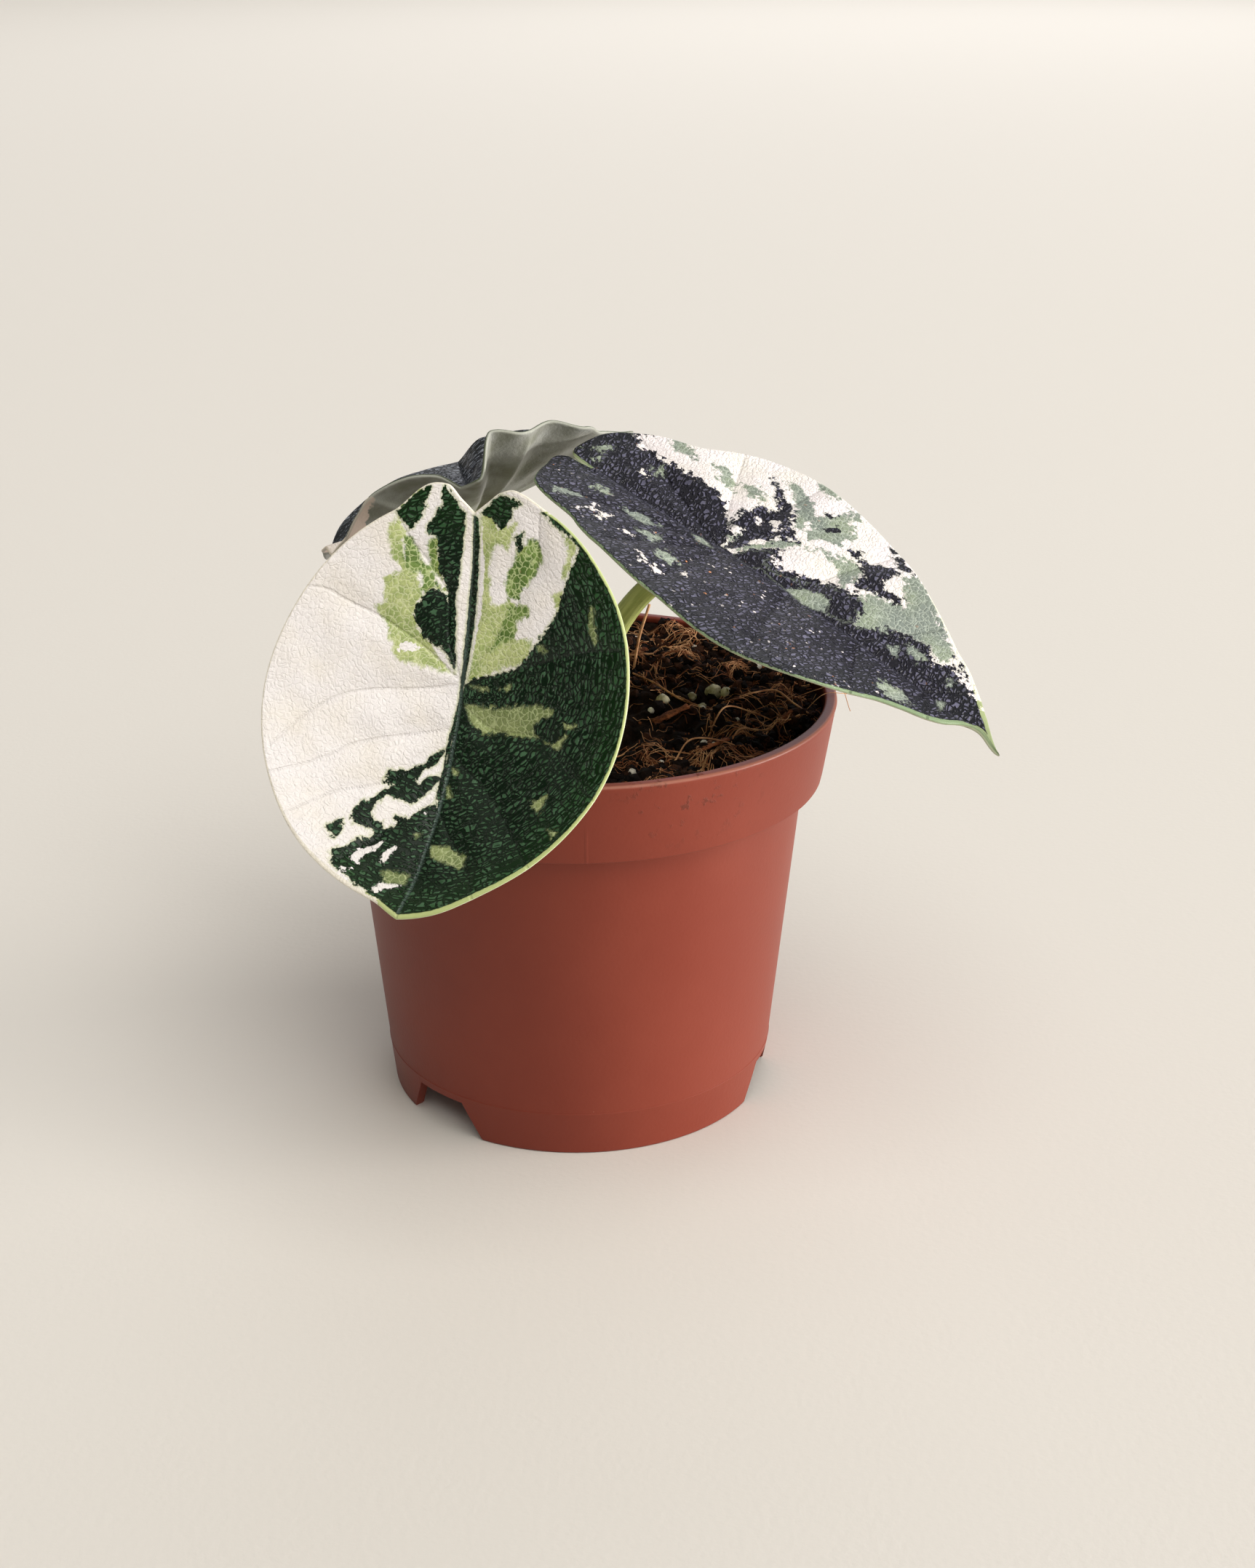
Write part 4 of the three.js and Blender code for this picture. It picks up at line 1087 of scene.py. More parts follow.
@dataclass
class Leaf:
    """One leaf: its blade and the stalk that carries it.

    ribs are lateral ribs placed where the photograph shows them; without them the CAD
    model's are used. margin is the width of the coloured rim and tip_margin its width at the tip.
    rim_share is the share of the blade's reach that the rounded rim takes up, in rim_rings rings.
    Valleys are broad and grooves narrow dips over the ribs, and rib_proud is how far the ribs stand
    out below.
    """

    name: str
    form: BladeForm
    finish: BladeFinish
    underside: UndersideFinish
    stalk_material: bpy.types.Material
    wrinkles: Wrinkles
    ribs: Patches = ()
    margin: float = 0.6
    tip_margin: float = 0.6
    cells: int = 196
    thickness: float = 0.9
    rim_rings: int = 4
    rim_share: float = 0.013
    fold_softness: float = 6.0
    valley_depth: float = 0.75
    valley_width: float = 3.0
    groove_depth: float = 0.15
    groove_width: float = 0.5
    rib_proud: float = 0.55
    rib_width: float = 0.8
    sway_share: float = 0.91
    sway_width: float = 4.0
    stalk_base_radius: float = 3.0
    stalk_top_radius: float = 2.2
    stalk_steps: int = 90
    stalk_sides: int = 28
    lumps: Lumps = field(default_factory=lambda: Lumps(7))

    def directions(self) -> tuple[Array, Array, Array]:
        """The blade's own directions: along its midrib, across to its right, out of its upper face."""
        form = self.form
        yaw, pitch, roll = (angle * RADIANS for angle in (form.yaw, form.pitch, form.roll))
        forward = math.cos(pitch)
        along = np.array([math.cos(yaw) * forward, math.sin(yaw) * forward, -math.sin(pitch)])
        level = np.array([math.sin(yaw), -math.cos(yaw), 0.0])
        up = np.cross(level, along)
        across = level * math.cos(roll) + up * math.sin(roll)
        return along, across, np.cross(across, along)

    def rib_distance(self, spots: Array) -> Array:
        """How far each spot of the flat blade is from the midrib or the nearest lateral rib."""
        if self.ribs:
            lines = [smooth_path([(u, v, 0) for u, v in rib], 2 * RIB_STEPS)[:, :2] for rib in self.ribs]
            return np.min([abs(spots[:, 1]), *(distance_to_line(spots, line) for line in lines)], axis=0)
        half_blade = np.stack([spots[:, 0], abs(spots[:, 1])], 1)
        return np.min([distance_to_line(half_blade, line) for line in self.even_ribs()], axis=0)

    def even_ribs(self) -> list[Array]:
        """The midrib and the lateral ribs of the flat right half as the CAD model has them."""
        scale = self.form.right[0] / RIB_REFERENCE_LENGTH
        lines = [np.array(MIDRIB)]
        for start, angle, bend in RIBS:
            turns = (angle - bend * np.arange(1, RIB_STEPS + 1) / RIB_STEPS) * RADIANS
            strides = np.stack([np.cos(turns), np.sin(turns)], 1) * RIB_LENGTH * scale / RIB_STEPS
            lines.append(np.concatenate([[[0, 0]], np.cumsum(strides, 0)]) + [start * scale, 0])
        return lines

    def rim_turn(self, reach: Callable[[Array], Array], shares: Array) -> Array:
        """The angles that divide a half blade's rim evenly."""
        turns = np.linspace(0, 180, RIM_SAMPLES)
        rim = np.stack([np.cos(turns * RADIANS), np.sin(turns * RADIANS)], 1) * reach(turns)[:, None]
        run = np.concatenate([[0], np.cumsum(np.linalg.norm(np.diff(rim, axis=0), axis=1))])
        return np.interp(shares * run[-1], run, turns)

    def flat_places(self, ring: Array, turn: Array) -> tuple[Array, Array, Array, Array]:
        """Where the grid's corners lie on the flat blade.

        Args:
            ring: each corner's ring.
            turn: each corner's turn round the disc.

        Returns:
            The places in the blade's plane, the rim's lift there, the share of the way from the
            stalk to the rim, and how much of the thickness is left there.
        """
        form = self.form
        last = self.cells // 2
        inner = last - self.rim_rings
        late = np.clip((ring - inner) / self.rim_rings, 0, 1) * math.pi / 2
        share = np.minimum(ring, inner) / inner * (1 - self.rim_share) + self.rim_share * np.sin(late)
        body = np.where(ring == last, 0.0, np.cos(late))
        on_right = turn >= 0
        part = abs(turn) / 180
        right, left = (smooth_through(form.angles, row) for row in (form.right, form.left))
        waves = [smooth_through(form.angles, row) for row in (form.right_wave, form.left_wave)]
        angle = np.where(on_right, self.rim_turn(right, part), self.rim_turn(left, part))
        reach = np.where(on_right, right(angle), left(angle)) * share
        wave = np.where(on_right, waves[0](angle), waves[1](angle)) * share**2
        side = np.where(on_right, 1, -1)
        spots = np.stack([reach * np.cos(angle * RADIANS), reach * np.sin(angle * RADIANS) * side], 1)
        return spots, wave, share, body

    def lifted(self, spots: Array, wave: Array, share: Array, rib: Array) -> Array:
        """Bends the flat blade to its place in the pot's frame."""
        form = self.form
        along, across, out = self.directions()
        u, v = spots[:, 0], spots[:, 1]
        curl = np.where(u > 0, form.tip_curl, form.lobe_curl)
        bend = curl * u
        fold = math.tan(form.fold * RADIANS) * (np.hypot(v, self.fold_softness) - self.fold_softness)
        valley = -self.valley_depth * np.exp(-((rib / self.valley_width) ** 2)) * (1 - share**6)
        lift = fold - form.side_curl * v * v / 2 + wave + valley
        sway = form.tip_sway * np.exp(-(((u - self.sway_share * form.right[0]) / self.sway_width) ** 2))
        forward = np.sin(bend) / curl + lift * np.sin(bend)
        outward = -(1 - np.cos(bend)) / curl + lift * np.cos(bend)
        from_stalk = np.outer(forward, along) + np.outer(v + sway, across) + np.outer(outward, out)
        return np.array(form.attach) + from_stalk

    def ripples(self, spots: Array) -> Array:
        """Coordinates in which noise gives wrinkles that run the blade's way."""
        u, v = spots[:, 0], spots[:, 1]
        away = np.hypot(u, v)
        unit = spots / np.maximum(away, 0.01)[:, None]
        if self.wrinkles is Wrinkles.ROUND:
            return np.stack([unit[:, 0] * 14, unit[:, 1] * 14, away], 1)
        return np.stack([v * 0.5, np.zeros_like(u), u + 0.3 * abs(v)], 1)

    def build_blade(self) -> bpy.types.Object:
        """Builds the blade as one closed shell with a rounded rim.

        Returns:
            The blade.
        """
        ring, turn, grid = disc_grid(self.cells)
        spots, wave, share, body = self.flat_places(ring, turn)
        rib = self.rib_distance(spots)
        middle = self.lifted(spots, wave, share, rib)
        normals = -corner_normals(middle, grid)
        rim = np.flatnonzero(ring == self.cells // 2)
        rim = rim[np.argsort(turn[rim])]
        edge = distance_to_line(spots, spots[np.append(rim, rim[0])])
        u, v = spots[:, 0], spots[:, 1]
        fade = np.clip(edge / 5, 0, 1)
        quilt = (self.lumps.at(u, v, 3.2) * 0.10 + self.lumps.at(v, u, 7.5) * 0.22) * fade
        groove = self.groove_depth * np.exp(-((rib / self.groove_width) ** 2)) * fade
        proud = self.rib_proud * np.exp(-((rib / self.rib_width) ** 2)) * fade
        half = self.thickness / 2 * body
        upper = middle + normals * (half + (quilt - groove) * body)[:, None]
        lower = middle - normals * (half + (proud - quilt * 0.5) * body)[:, None]
        inside = ring < self.cells // 2
        under_number = np.arange(len(ring))
        under_number[inside] = len(ring) + np.arange(inside.sum())
        points = np.concatenate([upper, lower[inside]])
        faces = np.concatenate([grid[:, ::-1], under_number[grid]])
        towards_tip = np.clip(u / self.form.right[0] * 2.5 - 1.2, 0, 1)
        measures = {
            "blade_mm": np.column_stack([spots, np.zeros(len(spots))]),
            "blade_ripple": self.ripples(spots),
            "edge_mm": edge,
            "rib_mm": rib,
            "across_mm": v,
            "margin_mm": self.margin + (self.tip_margin - self.margin) * towards_tip,
            **self.finish.depths(spots),
        }
        both = {label: np.concatenate([values, values[inside]]) for label, values in measures.items()}
        which = np.repeat([0, 1], len(grid))
        materials = [self.finish.material(), self.underside.material()]
        return make_piece(f"{self.name}_blade_fine", points, faces, materials, which, both)

    def stalk_path(self) -> Array:
        """The stalk's middle line from the crown into the blade's lower face."""
        out = self.directions()[2]
        end = np.array(self.form.attach) - out * (self.thickness / 2 + self.valley_depth + 0.3)
        approach = end - out * 2.5
        way = smooth_path([*self.form.stalk, tuple(approach), tuple(end)], self.stalk_steps)
        return np.concatenate([way, [end + out * 0.45, end + out * 0.95]])

    def build_stalk(self) -> bpy.types.Object:
        """Builds the stalk, which swells where it meets the crown and the blade."""
        path = self.stalk_path()
        share = np.linspace(0, 1, len(path))
        radii = self.stalk_base_radius + (self.stalk_top_radius - self.stalk_base_radius) * share
        radii = radii + 0.5 * np.exp(-(((1 - share) / 0.03) ** 2))
        points, faces = rod(path, radii, self.stalk_sides)
        run = np.concatenate([[0], np.cumsum(np.linalg.norm(np.diff(path, axis=0), axis=1))])
        lengthwise = np.append(np.repeat(run, self.stalk_sides), [0, run[-1]])
        turns = np.arange(self.stalk_sides) * 2 * math.pi / self.stalk_sides
        turns = np.append(np.tile(turns, len(path)), [0, 0])
        streaks = np.stack([np.cos(turns) * 2.5, np.sin(turns) * 2.5, lengthwise], 1)
        measures = {"stalk_mm": streaks}
        name = f"{self.name}_stalk_fine"
        return make_piece(name, points, faces, [self.stalk_material], None, measures)

    def build(self) -> None:
        """Builds and hands in the blade and the stalk."""
        side = self.name.removeprefix("leaf_")
        hand_in(self.build_blade(), f"blade_{side}", f"{self.name}_blade")
        hand_in(self.build_stalk(), "stalk", f"{self.name}_stalk")


@dataclass(frozen=True)
class StalkFinish:
    """Smooth green stalk with fine streaks along it and small darker mottles."""

    name: str = "stalk_green"
    flesh: Colour = srgb(204, 210, 130)
    shade: Colour = srgb(178, 188, 110)
    mottle: Colour = srgb(128, 124, 78)

    def material(self) -> bpy.types.Material:
        """Builds the material."""
        sheet = FinishSheet(self.name)
        spot = sheet.place("stalk_mm")
        long = sheet.node("ShaderNodeMapping", {"vector_type": "POINT"}, {0: spot, 3: (1.6, 1.6, 0.12)})
        streak = sheet.noise(long.outputs[0], 1.0, 3.0)
        colour = sheet.mix(streak.rise(0.35, 0.65), self.flesh, self.shade)
        blotch = sheet.noise(spot, 0.9, 3.0, 0.6).rise(0.62, 0.72)
        colour = sheet.mix(blotch * 0.35, colour, self.mottle)
        return sheet.finish(colour, streak * 0.15 + 0.36, streak, 0.12, {"Specular IOR Level": 0.45})


# The pot


@dataclass(frozen=True)
class PlasticFinish:
    """Satin terracotta plastic with a mould seam, dust, scuffs and a little soil near the rim.

    Inside the middle of its wall, from soil_and_shade_from up to lip_top, the collar is darker brown: soil
    left on it with painted shade, more of it towards the front. That middle's radius is wall_start plus
    wall_slope times the height. Above lip_top the outermost part of the lip is paler: a painted
    highlight in the dust colour. seam_x is where the seam runs down.
    """

    name: str = "terracotta_plastic"
    plastic: Colour = srgb(124, 51, 35)
    worn: Colour = srgb(136, 62, 45)
    dirt: Colour = srgb(78, 40, 28)
    # soil left inside the collar, with painted shade there in the same colour
    soil: Colour = srgb(72, 38, 26)
    # pale dust, and also the colour of the painted highlight along the lip's outer edge
    dust: Colour = srgb(214, 170, 146)
    seam_x: float = 3.0
    rim_radius: float = 60.0
    soil_and_shade_from: float = 78.5
    lip_top: float = 95.7
    wall_slope: float = 0.16
    wall_start: float = 43.9

    def material(self) -> bpy.types.Material:
        """Builds the material."""
        sheet = FinishSheet(self.name)
        spot = sheet.millimetres()
        axes = sheet.node("ShaderNodeSeparateXYZ", None, {0: spot})
        x, y, z = (Value(sheet, axes.outputs[axis]) for axis in range(3))
        cloud = sheet.noise(spot, 0.03, 4.0, 0.6)
        peel = sheet.noise(spot, 1.1, 2.0)
        smudge = sheet.noise(spot, 0.35, 4.0, 0.65)
        colour = sheet.mix(cloud.rise(0.35, 0.7) * 0.35, self.plastic, self.worn)
        near_rim = z.rise(76.0, 92.0) * (x - 22.0).rise(26.0, 4.0) * x.rise(6.0, 18.0)
        near_rim = near_rim * y.rise(-20.0, -40.0)
        smear = smudge.rise(0.56, 0.66) * near_rim
        colour = sheet.mix(smear * 0.55, colour, self.dirt)
        grime = sheet.specks(spot, 0.14, 0.34, 0.35) * (near_rim * 0.9 + 0.1)
        colour = sheet.mix(grime, colour, self.dirt)
        dust = sheet.specks(spot, 0.11, 0.2, 0.3)
        colour = sheet.mix(dust * 0.7, colour, self.dust)
        square_radius = x * x + y * y
        reach = z * self.wall_slope + self.wall_start
        # Painted shade with soil: the collar's inner wall is darker brown, more so towards the front.
        soiled_and_shaded = (reach * reach - square_radius + (smudge - 0.5) * 90.0).rise(-20.0, 30.0)
        soiled_and_shaded = soiled_and_shaded * z.rise(self.soil_and_shade_from, self.soil_and_shade_from + 1.5)
        soiled_and_shaded = soiled_and_shaded * z.rise(self.lip_top + 0.5, self.lip_top - 0.3) * (y.rise(28.0, 4.0) * 0.6 + 0.3)
        colour = sheet.mix(soiled_and_shaded, colour, self.soil)
        # Painted highlight: the outermost edge of the lip's top is paler, in the dust colour.
        lip = z.rise(self.lip_top, self.lip_top + 0.6)
        lip = lip * square_radius.rise((self.rim_radius - 0.8) ** 2, (self.rim_radius - 0.5) ** 2)
        colour = sheet.mix(lip * 0.2, colour, self.dust)
        seam = self._seam(x, y, z)
        roughness = cloud * 0.14 + smear * 0.3 + 0.4
        height = peel * 0.25 + seam * 0.45 + smear * 0.5
        return sheet.finish(colour, roughness, height, 0.12, {"Specular IOR Level": 0.3})

    def _seam(self, x: Value, y: Value, z: Value) -> Value:
        """A thin mould line down the front of the collar."""
        aside = (x - self.seam_x) * (x - self.seam_x)
        return aside.rise(0.16, 0.02) * z.rise(77.6, 78.2) * z.rise(88.0, 84.0) * y.rise(0.0, -10.0)


@dataclass
class Pot:
    """The nursery pot: one turned shell with notches in its foot and drain holes in its base.

    One drain hole is in the middle, and drain_count more are round it.
    """

    height: float = 96.5
    rim_radius: float = 60.0
    collar_height: float = 18.8
    collar_low_radius: float = 57.0
    wall_top_radius: float = 52.8
    foot_radius: float = 45.0
    foot_band_height: float = 11.3
    foot_band_proud: float = 0.08
    foot_ring_width: float = 2.6
    shoulder_fillet: float = 0.8
    wall: float = 1.4
    lip_width: float = 2.8
    lip_height: float = 1.8
    lip_round: float = 0.7
    base_underside: float = 9.3
    base_thickness: float = 1.6
    notch_azimuths: tuple[float, ...] = (-134, -14, 106)
    notch_height: float = 9.0
    notch_top_width: float = 14.0
    notch_foot_width: float = 23.5
    drain_count: int = 6
    drain_radius: float = 3.5
    drain_ring_radius: float = 27.0
    segments: int = 288
    sharp_over: float = 35.0
    material: bpy.types.Material = field(default_factory=lambda: PlasticFinish().material())

    @property
    def shoulder(self) -> float:
        """How high the collar starts."""
        return self.height - self.collar_height

    def wall_radius(self, z: float) -> float:
        """The outer radius below the collar."""
        return self.foot_radius + (self.wall_top_radius - self.foot_radius) * z / self.shoulder

    def collar_radius(self, z: float) -> float:
        """The outer radius of the collar."""
        rise = (z - self.shoulder) / self.collar_height
        return self.collar_low_radius + (self.rim_radius - self.collar_low_radius) * rise

    def inner_radius(self, z: float) -> float:
        """The inner radius, which steps in at the shoulder."""
        low, high = self.shoulder - self.wall, self.shoulder + self.wall
        if z >= high:
            return self.collar_radius(z) - self.wall
        if z <= low:
            return self.wall_radius(z) - self.wall
        share = (z - low) / (high - low)
        return (self.wall_radius(low) * (1 - share) + self.collar_radius(high) * share) - self.wall

    def _arc(self, centre: Spot, radius: float, start: float, end: float, steps: int = 5) -> list[Spot]:
        """Points of a rounded corner of the profile."""
        turns = np.linspace(start, end, steps + 1) * RADIANS
        return [(centre[0] + radius * math.cos(t), centre[1] + radius * math.sin(t)) for t in turns]

    def profile(self) -> list[Spot]:
        """The pot's cross-section, from the axis underneath round to the axis inside."""
        base_top = self.base_underside + self.base_thickness
        lip_floor = self.height - self.lip_height
        band, proud, lip = self.foot_band_height, self.foot_band_proud, self.lip_round
        foot_inner = self.foot_radius - self.foot_ring_width
        rim_inner = self.rim_radius - self.lip_width
        fillet = self.shoulder_fillet
        wall_rows = np.linspace(band + 2, self.shoulder - fillet - 1, 12)
        collar_rows = np.linspace(self.shoulder + 2, self.height - lip - 1, 6)
        return [
            (0, self.base_underside),
            (self.wall_radius(self.base_underside) - self.foot_ring_width, self.base_underside),
            (foot_inner + 0.1, 0.4),
            (foot_inner + 0.5, 0),
            *self._arc((self.foot_radius - 0.6, 0.6), 0.6, -90, 0, 4),
            (self.wall_radius(band - 1) + proud, band - 0.8),
            *self._arc((self.wall_radius(band), band - 0.5), proud, 0, 90, 3),
            (self.wall_radius(band + 0.3), band + 0.3),
            *[(self.wall_radius(z), z) for z in wall_rows],
            *[(2 * (self.wall_top_radius + fillet) - x, z) for x, z in
              self._arc((self.wall_top_radius + fillet, self.shoulder - fillet), fillet, 0, 90, 4)],
            *self._arc((self.collar_low_radius - 0.5, self.shoulder + 0.5), 0.5, -90, 0, 4),
            *[(self.collar_radius(z), z) for z in collar_rows],
            *self._arc((self.rim_radius - lip, self.height - lip), lip, 0, 90),
            *self._arc((rim_inner + lip, self.height - lip), lip, 90, 180),
            (rim_inner, lip_floor + 0.4),
            (self.inner_radius(lip_floor - 0.8), lip_floor - 0.8),
            (self.inner_radius(self.shoulder + self.wall), self.shoulder + self.wall),
            (self.inner_radius(self.shoulder - self.wall), self.shoulder - self.wall),
            (self.wall_radius(base_top) - self.wall - 0.6, base_top),
            (0, base_top),
        ]

    def _turned(self) -> Shape:
        """The profile turned round the axis, closed at both ends."""
        start, *rows, end = self.profile()
        turns = np.arange(self.segments) * 2 * math.pi / self.segments
        rings = [circle(turns, radius, z) for radius, z in rows]
        ends = [[0, 0, start[1]], [0, 0, end[1]]]
        return np.concatenate([*rings, ends]), tube_faces(len(rows), self.segments)

    def _notch_cutter(self, azimuth: float) -> Shape:
        """A block as wide as a notch, which reaches from the middle out through the foot."""
        turn = azimuth * RADIANS
        outward = np.array([math.cos(turn), math.sin(turn), 0])
        aside = np.array([-math.sin(turn), math.cos(turn), 0])
        slope = (self.notch_foot_width - self.notch_top_width) / 2 / self.notch_height
        foot, top = self.notch_foot_width / 2 + slope, self.notch_top_width / 2
        corners = [(-foot, -1), (foot, -1), (top, self.notch_height), (-top, self.notch_height)]
        points = []
        for reach in (self.foot_radius / 2, self.foot_radius * 1.5):
            points += [outward * reach + aside * width + np.array([0, 0, z]) for width, z in corners]
        faces = [[3, 2, 1, 0], [4, 5, 6, 7], [0, 1, 5, 4], [1, 2, 6, 5], [2, 3, 7, 6], [3, 0, 4, 7]]
        return np.array(points), faces

    def _drain_cutter(self, x: float, y: float) -> Shape:
        """A round plug through the base."""
        ends = np.array([[x, y, self.base_underside - 3], [x, y, self.base_underside + 4]])
        return rod(ends, self.drain_radius, 32)

    def build(self) -> None:
        """Turns the pot, cuts its notches and holes, and hands it in."""
        pot = make_piece("pot_fine", *self._turned(), [self.material])
        cutters = [self._notch_cutter(azimuth) for azimuth in self.notch_azimuths]
        cutters.append(self._drain_cutter(0, 0))
        ring = self.drain_ring_radius
        for hole in range(self.drain_count):
            turn = hole * 2 * math.pi / self.drain_count
            cutters.append(self._drain_cutter(ring * math.cos(turn), ring * math.sin(turn)))
        tool = make_piece("pot_cutter", *joined(cutters), [self.material])
        cut = pot.modifiers.new("notches and holes", "BOOLEAN")
        cut.operation = "DIFFERENCE"
        cut.solver = "EXACT"
        cut.object = tool
        applied(pot)
        bpy.data.objects.remove(tool)
        pot.data.shade_smooth()
        pot.data.set_sharp_from_angle(angle=self.sharp_over * RADIANS)
        hand_in(pot, "pot_plastic", "pot")


# The soil


@dataclass(frozen=True)
class GrainFinish:
    """A rough finish for soil and what lies in it, between two colours.

    per_mm sets how fine its noise is, depth is its relief in millimetres, rough its roughness,
    and tips a third colour that shows in places.
    """

    name: str
    dark: Colour
    light: Colour
    per_mm: float = 0.8
    depth: float = 0.3
    rough: float = 0.9
    tips: Colour | None = None

    def material(self) -> bpy.types.Material:
        """Builds the material."""
        sheet = FinishSheet(self.name)
        spot = sheet.millimetres()
        coarse = sheet.noise(spot, self.per_mm * 0.35, 4.0, 0.65)
        fine = sheet.noise(spot, self.per_mm * 2.5, 4.0, 0.7)
        colour = sheet.mix((coarse * 0.6 + fine * 0.4).rise(0.38, 0.62), self.dark, self.light)
        if self.tips is not None:
            blotch = sheet.noise(spot, self.per_mm * 1.7, 3.0)
            colour = sheet.mix(blotch.rise(0.62, 0.7), colour, self.tips)
        roughness = fine * 0.1 + (self.rough - 0.05)
        return sheet.finish(colour, roughness, fine, self.depth, {"Specular IOR Level": 0.12})


@dataclass(frozen=True)
class Scatter:
    """What is strewn over the soil: how many in a square centimetre and how large, in millimetres.

    facets is 1 for angular grains and 2 for rounder ones.
    """

    name: str
    finish: GrainFinish
    per_square_cm: float
    least: float
    most: float
    seed: int
    facets: int = 1


PEAT = GrainFinish("peat", srgb(6, 4, 3), srgb(38, 23, 15), 0.7, 0.5)
CRUMB = GrainFinish("peat_crumb", srgb(10, 6, 4), srgb(66, 39, 25), 0.5, 0.3)
DARK_CRUMB = GrainFinish("dark_crumb", srgb(4, 3, 3), srgb(24, 14, 10), 0.6, 0.3)
COIR = GrainFinish("coir", srgb(132, 78, 46), srgb(222, 172, 126), 0.12, 0.05, 0.7)
DARK_COIR = GrainFinish("dark_coir", srgb(62, 32, 19), srgb(146, 90, 56), 0.12, 0.05, 0.8)
PERLITE = GrainFinish("perlite", srgb(196, 186, 168), srgb(244, 240, 230), 0.9, 0.4, 0.85)
BEAD = GrainFinish(
    "fertiliser_bead", srgb(124, 116, 84), srgb(196, 190, 160), 0.5, 0.1, 0.5, srgb(104, 104, 56))
BARK = GrainFinish("bark", srgb(70, 34, 20), srgb(168, 102, 66), 0.6, 0.6, 0.85)

CRUMBS = (
    Scatter("soil_crumbs", CRUMB, 26, 0.5, 1.6, 3),
    Scatter("soil_dark_crumbs", DARK_CRUMB, 24, 0.5, 1.9, 4),
    Scatter("soil_fines", DARK_COIR, 26, 0.2, 0.55, 5),
    Scatter("soil_perlite", PERLITE, 0.42, 0.3, 0.9, 6, 2),
)


@dataclass(frozen=True)
class Fibres:
    """Curved hairs of coir strewn over the soil, with sizes in millimetres."""

    name: str
    finish: GrainFinish
    per_square_cm: float
    shortest: float
    longest: float
    radius: float
    arch: float
    seed: int


FIBRES = (
    Fibres("soil_fibres_light", COIR, 7.0, 6, 20, 0.11, 2.0, 21),
    Fibres("soil_fibres_dark", DARK_COIR, 9.0, 4, 14, 0.14, 1.6, 22),
    Fibres("soil_fibres_fine", COIR, 9.0, 4, 12, 0.06, 2.6, 23),
)

# Things that can be told apart in the photograph, on the pot's plane. Beads and white perlite:
# where each is, and its radius
BEAD_SPOTS: tuple[tuple[float, float, float], ...] = (
    (31.9, 10, 1.9), (35, 8.8, 1.6), (19.9, 2, 1.5), (26.8, 6.6, 1.1), (29, 1, 1.2),
)
PERLITE_SPOTS: tuple[tuple[float, float, float], ...] = (
    (17.2, -3.5, 0.8), (12.6, -35.3, 1.0), (36.8, -6.5, 0.6), (19.2, -28.7, 0.6), (28.8, -22.9, 0.9),
    (29, 0, 0.9), (28.3, 38.2, 1.0), (42.9, 24.2, 1.1), (31, -23.4, 0.7), (9.5, -30, 0.5),
)
# Roots and long hairs: points with how high each is above the soil, and the root's radius
ROOTS: tuple[tuple[tuple[Point, ...], float], ...] = (
    (((13, 14, 2.0), (18, 8, 1.6), (24, 3, 1.2), (30, 1, 0.6)), 0.25),
    (((34, -24, 0.4), (37, -18, 2.6), (43, -14, 2.2), (51, -10, 0.8)), 0.22),
    (((22, -31, 0.5), (26, -24, 2.8), (33, -24, 2.0), (40, -28, 0.6)), 0.2),
    (((8, -26, 0.6), (16, -24, 1.2), (26, -27, 0.8)), 0.2),
    (((40, 2, 0.6), (46, 4, 2.4), (50, -2, 1.6), (53, -8, 0.8)), 0.22),
    (((30, -14, 0.5), (34, -8, 2.4), (40, -6, 2.6), (45, -8, 0.8)), 0.2),
    (((13, 24, -1), (14.5, 27, 6), (17, 30, 14)), 0.35),
    (((6, 20, 0.5), (10, 26, 3), (18, 30, 1)), 0.25),
    (((50, 3, 0.8), (56, 1.5, 5), (60.5, -1, 6), (63, -4, 1.5)), 0.1),
    (((52, -4, 0.8), (57, -3, 4.4), (61, -2, 4.8), (62.5, 1, 2.5)), 0.08),
)
# Bark chips: both ends with their height above the soil, half the width and half the thickness
BARK_CHIPS: tuple[tuple[Point, Point, float, float], ...] = (
    ((17.5, -9, 0.6), (25.5, -5.5, 2.0), 1.7, 0.5),
    ((27, -27, 0.6), (34, -22, 1.4), 1.1, 0.4),
    ((44, -14, 0.5), (49, -9, 2.2), 0.9, 0.4),
    ((10, 30, 0.5), (16, 34, 1.8), 1.2, 0.4),
)
# How finely the beads, the roots and the bark chips are made
PEBBLE_CELLS = 12
ROOT_STEPS = 28
ROOT_SIDES = 6
CHIP_ROWS = 9
CHIP_SIDES = 8

# A round swell: its middle's place, its height and its radius
Swell = tuple[float, float, float, float]


